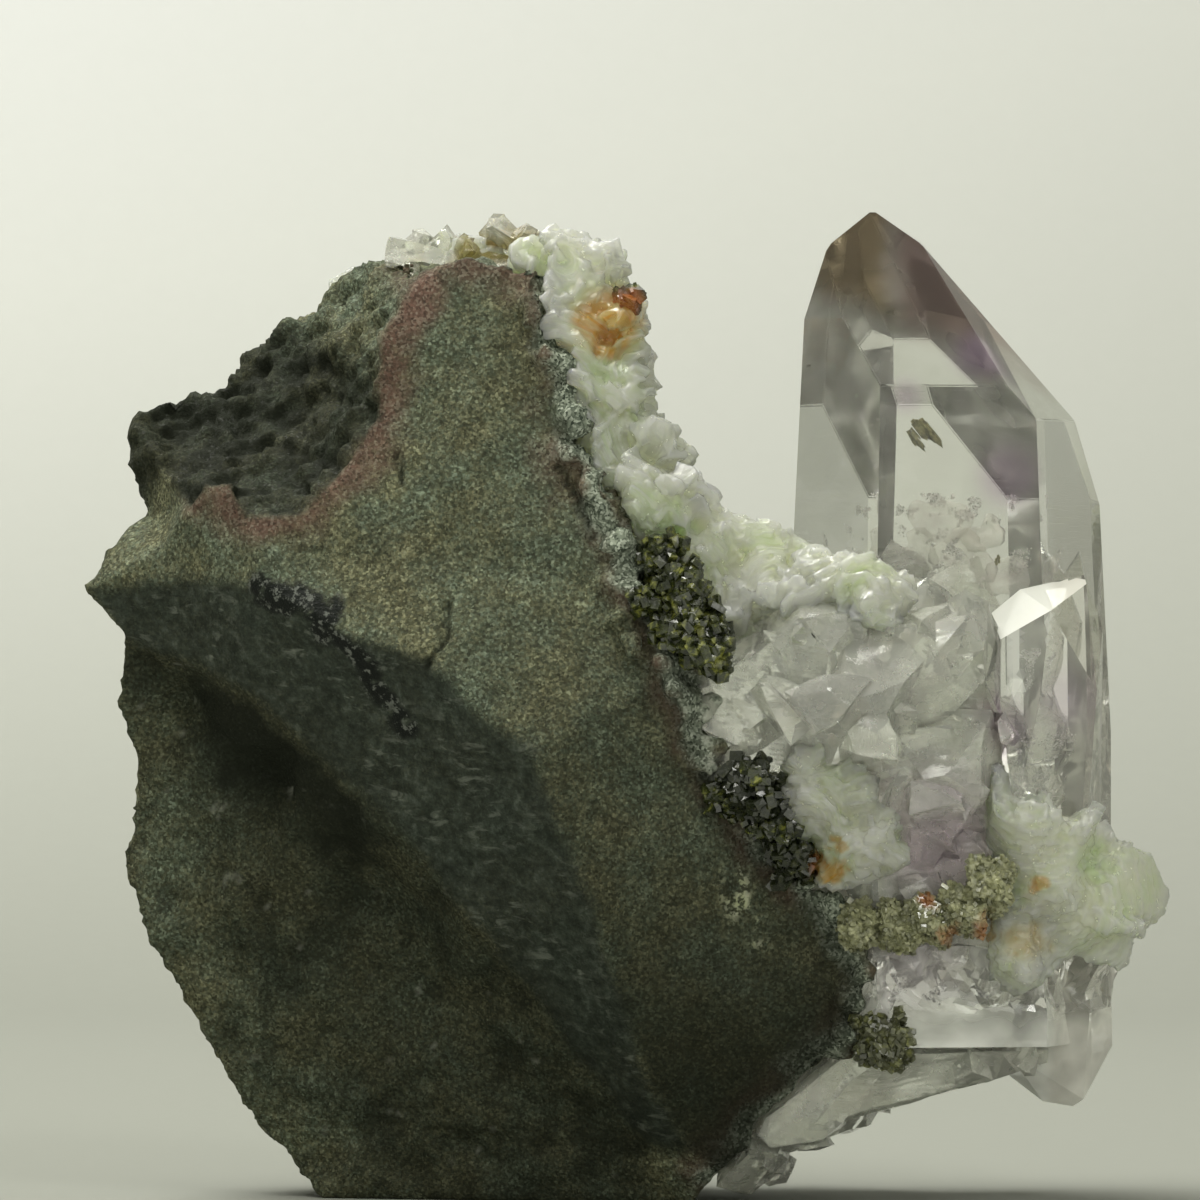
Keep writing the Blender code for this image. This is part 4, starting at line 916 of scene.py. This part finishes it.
def crack_sheet(middle, facing, reach, seed, rings=9, spokes=30):
    """A thin closed sheet, rippled like the surface of a broken shell."""
    facing = unit(np.array([facing]))[0]
    first = unit(np.cross(facing, (0.3, 0.2, 1.0))[None])[0]
    second = np.cross(facing, first)
    turn = np.linspace(0.0, 2.0 * math.pi, spokes, endpoint=False)
    rim = np.stack([np.cos(turn), np.sin(turn), np.zeros(spokes)], axis=1)
    far = reach * (0.85 + 0.35 * layered(rim, 0.6, seed, octaves=2))
    out = np.linspace(0.05, 1.0, rings)[:, None]
    spots = (np.array(middle) + (out * far * np.cos(turn))[..., None] * first
             + (out * far * np.sin(turn))[..., None] * second).reshape(-1, 3)
    ripple = 0.07 * np.sin(11.0 * np.repeat(out, spokes, axis=1)).reshape(-1)
    ripple = ripple + 0.5 * layered(spots, 2.4, seed + 40, octaves=3)
    gap = 0.03 * (1.0 - np.repeat(out, spokes, axis=1).reshape(-1) ** 2) + 0.002
    places = np.concatenate([spots + facing * (ripple + gap)[:, None],
                             spots + facing * (ripple - gap)[:, None]])
    count = rings * spokes
    faces = [list(range(spokes))[::-1], [count + n for n in range(spokes)]]
    for n in range(spokes):
        after = (n + 1) % spokes
        for ring in range(rings - 1):
            a, b = ring * spokes + n, ring * spokes + after
            faces.append([a, b, b + spokes, a + spokes])
            faces.append([count + b, count + a, count + a + spokes, count + b + spokes])
        a, b = (rings - 1) * spokes + n, (rings - 1) * spokes + after
        faces.append([a, b, count + b, count + a])
    return places, faces


INCLUSIONS = [      # small olive needles in the crystal: place and direction
    (16.6, -5.4, 44.2, 0.6, 0.0, -0.8), (16.9, -5.4, 43.9, 0.6, 0.0, -0.8),
    (16.3, -5.4, 43.5, 0.4, 0.0, -0.7), (21.2, -4.8, 36.2, 0.0, 0.1, 1.0)]


def build_veils():
    """Healed cracks inside the main crystal: curved sheets of tiny bright flakes."""
    rng = np.random.default_rng(29)
    middles, faced = [], []
    for middle, facing, reach, count in VEILS:
        facing = unit(np.array([facing]))
        first = unit(np.cross(facing, (0.3, 0.2, 1.0)))
        second = np.cross(facing, first)
        u, v = rng.uniform(-1.0, 1.0, (2, count * 6, 1)) * reach
        spot = np.array(middle) + u * first + v * second
        spot = spot + facing * (1.6 * layered(spot, 5.0, 31))[:, None]
        wisps = layered(spot * (1.0, 1.0, 0.6), 2.2, 37) + 0.5 * layered(spot, 0.6, 39)
        keep = wisps > 0.05 + 0.9 * (np.hypot(u, v)[:, 0] / reach) ** 3
        middles.append(spot[keep][:count * 2])
        faced.append(np.repeat(facing, len(middles[-1]), axis=0))
    middles, faced = np.concatenate(middles), np.concatenate(faced)
    away = np.max([(middles[:, :2] - AXIS) @ prism_side(number) - PRISM_REACH[number]
                   for number in range(6)], axis=0)
    keep = (away < -0.4) & (middles[:, 2] > 11.5) & (middles[:, 2] < 40.0)
    middles, faced = middles[keep], faced[keep]
    faced = unit(faced + rng.normal(scale=0.35, size=faced.shape))
    first = unit(np.cross(faced, rng.normal(size=faced.shape)))
    second = np.cross(faced, first)
    size = rng.uniform(0.03, 0.12, len(middles))[:, None]
    turns = np.sort(rng.uniform(0.0, 2.0 * math.pi, (len(middles), 3)), axis=1)
    corners = [middles + size * (np.cos(turns[:, n:n + 1]) * first
                                 + np.sin(turns[:, n:n + 1]) * second) for n in range(3)]
    corners.append(middles - faced * 0.02)
    places = np.stack(corners, axis=1).reshape(-1, 3)
    faces = [[start + corner for corner in side] for start in range(0, len(places), 4)
             for side in ((0, 1, 2), (1, 0, 3), (2, 1, 3), (0, 2, 3))]
    sheets = [crack_sheet(*crack, 211 + number) for number, crack in enumerate(SHEETS)]
    piece("amethyst_veils", places, faces, veil_look("veils", 0.35, 1.4), "amethyst", [])
    piece("amethyst_cracks", *joined(*sheets), veil_look("cracks", 0.80, 1.03), "amethyst", [],
          smooth=True)
    spots = np.array(INCLUSIONS)
    roots = np.repeat(spots[:, :3], 6, axis=0) + rng.normal(scale=0.12, size=(6 * len(spots), 3))
    axes = np.repeat(spots[:, 3:], 6, axis=0) + rng.normal(scale=0.12, size=roots.shape)
    lengths = rng.uniform(0.5, 1.5, len(roots)) * np.repeat(spots[:, 5] < 0.0, 6) + 0.3
    look = Look("needles", Roughness=0.5)
    look.wire(Base_Color=look.ramp(look.noise(2.5), (0.4, (0.12, 0.11, 0.04)),
                                   (0.6, (0.32, 0.30, 0.14))))
    piece("amethyst_inclusions", *prism_mesh(roots, axes, lengths, 0.10 + 0.12 * lengths, rng),
          look.material, "epidote", [])


def build_quartz(node, name, seed, count, size):
    """Glassy quartz: the node's body with small points grown on it."""
    points, normals = surface_points(node, count, size, seed)
    rng = np.random.default_rng(seed)
    axes = unit(normals + rng.normal(scale=0.5, size=normals.shape))
    keep = clear_of("basalt_matrix", points + axes * 0.8, 0.1)
    points, axes = points[keep], axes[keep]
    lengths = size * rng.uniform(0.6, 1.5, len(points))
    small = prism_mesh(points - axes * (0.75 * lengths)[:, None], axes, lengths,
                       lengths * rng.uniform(0.6, 1.0, len(points)), rng, 0.8, 0.5, 0.2)
    places, faces, _ = taken_apart(fused(node_parts(node), *small, 9))
    places, faces = finely_cut(places, faces, 0.7)
    item = piece(name, bent(places, 0.16, 2.2, 151), faces, cloudy_look(), "quartz", [node],
                 smooth=True)
    item.data.set_sharp_from_angle(angle=math.radians(24.0))
    store(item.data, "violet", np.zeros(len(places)))
    store(item.data, "stain", blobs(places, STAINS))
    return item


# Prehnite

def build_prehnite(node, name, seed, apart, fan, reach, hubs=None, bulge=0.35, rough=0.16):
    """Fans of narrow plates that radiate from hubs inside the crust and end at its surface."""
    rng = np.random.default_rng(seed)
    points, normals = surface_points(node, 14000, apart, seed)
    keep = clear_of("basalt_matrix", points + normals * 0.3, 0.1)
    keep &= (points[:, 0] > -11.5) | ((points[:, 1] > 2.0) & (points[:, 2] < 48.5))
    points, normals = points[keep], normals[keep]
    if hubs is None:
        heads, faced = surface_points(node, 1500, fan, seed + 50)
        faced = unit(faced + rng.normal(scale=0.25, size=faced.shape))
        hubs = heads - faced * (reach * rng.uniform(0.8, 1.3, len(heads)))[:, None]
    else:
        hubs = np.array(hubs)
        heads = hubs
    away = np.linalg.norm((points + normals * 0.4 * reach)[:, None] - heads[None], axis=2)
    owner = np.argmin(away, axis=1)
    near = away[np.arange(len(points)), owner]
    rays = points - hubs[owner]
    length = np.linalg.norm(rays, axis=1)
    rays = unit(rays / length[:, None] + 0.15 * normals)
    steep = np.sum(rays * normals, axis=1)[:, None]
    rays = unit(rays + 1.6 * np.clip(0.55 - steep, 0.0, 1.6) * normals)
    stack = unit(np.cross(unit(rng.normal(size=hubs.shape) * (1.0, 0.5, 0.3)), rays[:1] + 0.01))
    flats = unit(stack[owner] + rng.normal(scale=0.12, size=rays.shape))
    swell = bulge * (1.0 - np.clip(near / fan, 0.0, 1.0) ** 2)
    proud = swell + rng.uniform(-rough, rough, len(points)) * apart + 0.15 * (
        rng.random(len(hubs))[owner])
    length = np.clip(length, 0.8, 1.6)
    roots = points - rays * length[:, None]
    plates = blade_mesh(roots, rays, flats, length + proud, np.full(len(points), 2.4 * apart),
                        np.full(len(points), 0.95 * apart), rng)
    mesh = fused(node_parts(node), *plates, 12)
    places, faces, _ = taken_apart(mesh)
    places, normals, faces = skin(places, faces, FAN_VOXEL)
    away = np.linalg.norm((places + normals * 0.4 * reach)[:, None] - heads[None], axis=2)
    owner = np.argmin(away, axis=1)
    offset = places - hubs[owner]
    along = np.linalg.norm(offset, axis=1)
    across = np.sum(offset * stack[owner], axis=1) / np.maximum(along, 0.3) * 2.2 + owner * 5.3
    ribs = layered(np.stack([across * 2.6, along * 0.25, owner * 1.7], axis=1), 1.0, seed + 7)
    places = places + normals * (0.09 * ribs)[:, None]
    item = piece(name, places, faces, prehnite_look(), "prehnite", [node], smooth=True)
    store(item.data, "rust", blobs(places, RUST))
    store(item.data, "across", across)
    store(item.data, "along", along)
    return item


# Epidote

def build_epidote(node, name, seed, apart, length, pale, painted_shade_and_dark_tone):
    """A knot of short stout prisms."""
    rng = np.random.default_rng(seed)
    points, normals = surface_points(node, 9000, apart, seed)
    axes = unit(normals + rng.normal(scale=0.7, size=normals.shape))
    lengths = length * rng.uniform(0.6, 1.3, len(points))
    widths = length * rng.uniform(0.45, 0.85, len(points))
    small = prism_mesh(points - axes * 0.5 * length, axes, lengths, widths, rng, 0.75, 0.12)
    places, faces, _ = taken_apart(fused(node_parts(node), *small, 9))
    item = piece(name, places, faces, epidote_look(), "epidote", [node])
    store(item.data, "rust", blobs(places, RUST) * 0.8)
    store(item.data, "pale", np.full(len(places), pale))
    store(item.data, "painted_shade_and_dark_tone", painted_shade_and_dark_tone * fade(layered(places, 1.5, 171), -0.9, 0.1))
    return item


def build_crusts():
    build_heap()
    build_veils()
    build_quartz("quartz_base", "quartz_lower", 11, 60, 1.6)
    build_quartz("quartz_druse_top", "quartz_druse", 12, 40, 1.3)
    build_prehnite("prehnite_crust", "prehnite_wall", 21, 0.62, 2.4, 2.2)
    build_prehnite("prehnite_fan_lower", "prehnite_fans", 22, 0.5, 2.0, 1.8, None, 0.3, 0.10)
    build_prehnite("prehnite_lobe_right", "prehnite_lobe", 23, 0.42, 6.0, 3.0,
                   [(22.6, -8.0, 20.0), (24.0, -7.5, 17.0), (21.5, -8.5, 16.5)], 0.15, 0.10)
    for seed, (node, name, length, apart, pale, painted_shade_and_dark_tone) in enumerate((
            ("epidote_upper", "epidote_knot_upper", 0.8, 0.42, 0.0, 0.45),
            ("epidote_middle", "epidote_knot_middle", 0.7, 0.40, 0.0, 0.9),
            ("epidote_lower", "epidote_knot_lower", 0.5, 0.30, 0.35, 0.5),
            ("epidote_band", "epidote_fuzzy_band", 0.40, 0.25, 0.9, 0.2),
            ("epidote_tip", "epidote_single", 0.3, 0.6, 0.0, 0.9))):
        build_epidote(node, name, 41 + seed, apart, length, pale, painted_shade_and_dark_tone)


# Stage

def build_stage():
    """A sheet of paper that curves up behind the specimen, with light painted on it: lighter upwards,
    towards the top left and towards the front.
    """
    look = Look("paper_sweep", Roughness=0.95, Specular_IOR_Level=0.1)
    split = look.add("ShaderNodeSeparateXYZ", {"Vector": look.place}).outputs
    # Painted light: the tone rises with height, falls to the right the higher it is, and rises towards
    # the front
    turn = look.math("MULTIPLY", split["X"], split["Z"])
    light_falloff = look.math("ADD", split["Z"], look.math("MULTIPLY", turn, -0.0035))
    shade = look.math("MULTIPLY_ADD", light_falloff, 1.0 / 300.0)
    shade.node.inputs[2].default_value = 0.25
    shade = look.math("ADD", shade, look.ramp(
        look.math("MULTIPLY", split["Y"], -0.01), (0.12, 0.0), (0.8, 0.42)))
    tint = look.ramp(shade, *PAPER_PAINTED_LIGHT)
    grain = look.ramp(look.noise(0.6, 2.0), (0.3, 0.99), (0.7, 1.0))
    behind = look.add("ShaderNodeNewGeometry").outputs["Backfacing"]
    look.wire(Base_Color=look.mix(1.0, tint, grain, "MULTIPLY"),
              Alpha=look.math("SUBTRACT", 1.0, behind))
    profile = [(PAPER_FRONT, 0.0), (PAPER_BACK - PAPER_RADIUS, 0.0)]
    steps = 24
    for step in range(1, steps + 1):
        turn = math.pi / 2 * step / steps
        profile.append((PAPER_BACK - PAPER_RADIUS + PAPER_RADIUS * math.sin(turn),
                        PAPER_RADIUS - PAPER_RADIUS * math.cos(turn)))
    profile.append((PAPER_BACK, PAPER_TOP))
    places = [(side * PAPER_HALF_WIDTH, y, z) for y, z in profile for side in (-1.0, 1.0)]
    faces = [(2 * i, 2 * i + 1, 2 * i + 3, 2 * i + 2) for i in range(len(profile) - 1)]
    mesh = bpy.data.meshes.new("sweep")
    mesh.from_pydata(places, [], faces)
    mesh.polygons.foreach_set("use_smooth", [True] * len(faces))
    mesh.materials.append(look.material)
    floor = bpy.data.objects.new("sweep", mesh)
    bpy.context.scene.collection.objects.link(floor)


def area_light(name, place, target, size, power, colour):
    data = bpy.data.lights.new(name, "AREA")
    data.shape = "RECTANGLE"
    data.size, data.size_y = size
    data.energy = power
    data.color = colour
    lamp = bpy.data.objects.new(name, data)
    lamp.location = place
    direction = Vector(target) - Vector(place)
    lamp.rotation_euler = direction.to_track_quat("-Z", "Y").to_euler()
    bpy.context.scene.collection.objects.link(lamp)


def build_lights():
    world = bpy.data.worlds.new("room")
    world.use_nodes = True
    sky = world.node_tree.nodes["Background"]
    sky.inputs["Color"].default_value = (0.98, 1.0, 0.84, 1.0)
    sky.inputs["Strength"].default_value = 0.36
    bpy.context.scene.world = world
    area_light("overhead", (-0.21, -0.08, 0.62), (-0.02, -0.02, 0.03), (0.38, 0.38), 2.9,
               (1.0, 0.99, 0.91))
    area_light("backdrop", (-0.20, 0.10, 0.62), (-0.05, 0.42, 0.10), (0.3, 0.3), 2.05,
               (1.0, 1.0, 0.94))
    area_light("behind", (-0.152, 0.217, 0.562), (0.022, -0.011, 0.034), (0.30, 0.18), 1.3,
               (1.0, 1.0, 0.95))
    area_light("front", (0.17, -0.46, 0.43), (0.01, 0.0, 0.03), (0.14, 0.10), 0.5,
               (1.0, 1.0, 0.95))
    area_light("fill", (0.26, -0.36, 0.17), (0.02, 0.0, 0.02), (0.20, 0.16), 0.24,
               (1.0, 1.0, 0.92))


def build_camera():
    data = bpy.data.cameras.new("camera")
    data.sensor_width = SENSOR
    data.lens = SENSOR * VIEW_DISTANCE / VIEW_WIDTH
    data.clip_start = 0.01
    camera = bpy.data.objects.new("camera", data)
    camera.location = ((VIEW_X - DRAWN_AT[0]) * MM, (-VIEW_DISTANCE - DRAWN_AT[1]) * MM,
                       VIEW_HEIGHT * MM)
    camera.rotation_euler = (math.pi / 2, 0.0, 0.0)
    bpy.context.scene.collection.objects.link(camera)
    bpy.context.scene.camera = camera


def set_colours():
    scene = bpy.context.scene
    scene.view_settings.view_transform = "Standard"
    scene.view_settings.look = "None"
    scene.cycles.max_bounces = 9
    scene.cycles.diffuse_bounces = 2
    scene.cycles.transmission_bounces = 9
    scene.cycles.glossy_bounces = 6
    scene.cycles.transparent_max_bounces = 8
    scene.cycles.use_denoising = True


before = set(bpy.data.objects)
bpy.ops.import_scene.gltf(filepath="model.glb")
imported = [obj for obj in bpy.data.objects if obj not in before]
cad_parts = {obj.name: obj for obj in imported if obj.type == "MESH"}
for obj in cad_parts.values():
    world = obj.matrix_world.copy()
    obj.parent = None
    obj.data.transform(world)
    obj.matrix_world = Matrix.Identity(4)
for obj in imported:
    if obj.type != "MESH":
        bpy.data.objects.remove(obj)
cad_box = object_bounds()

build_basalt()
build_amethyst()
build_crusts()
build_stage()
build_lights()
build_camera()
set_colours()
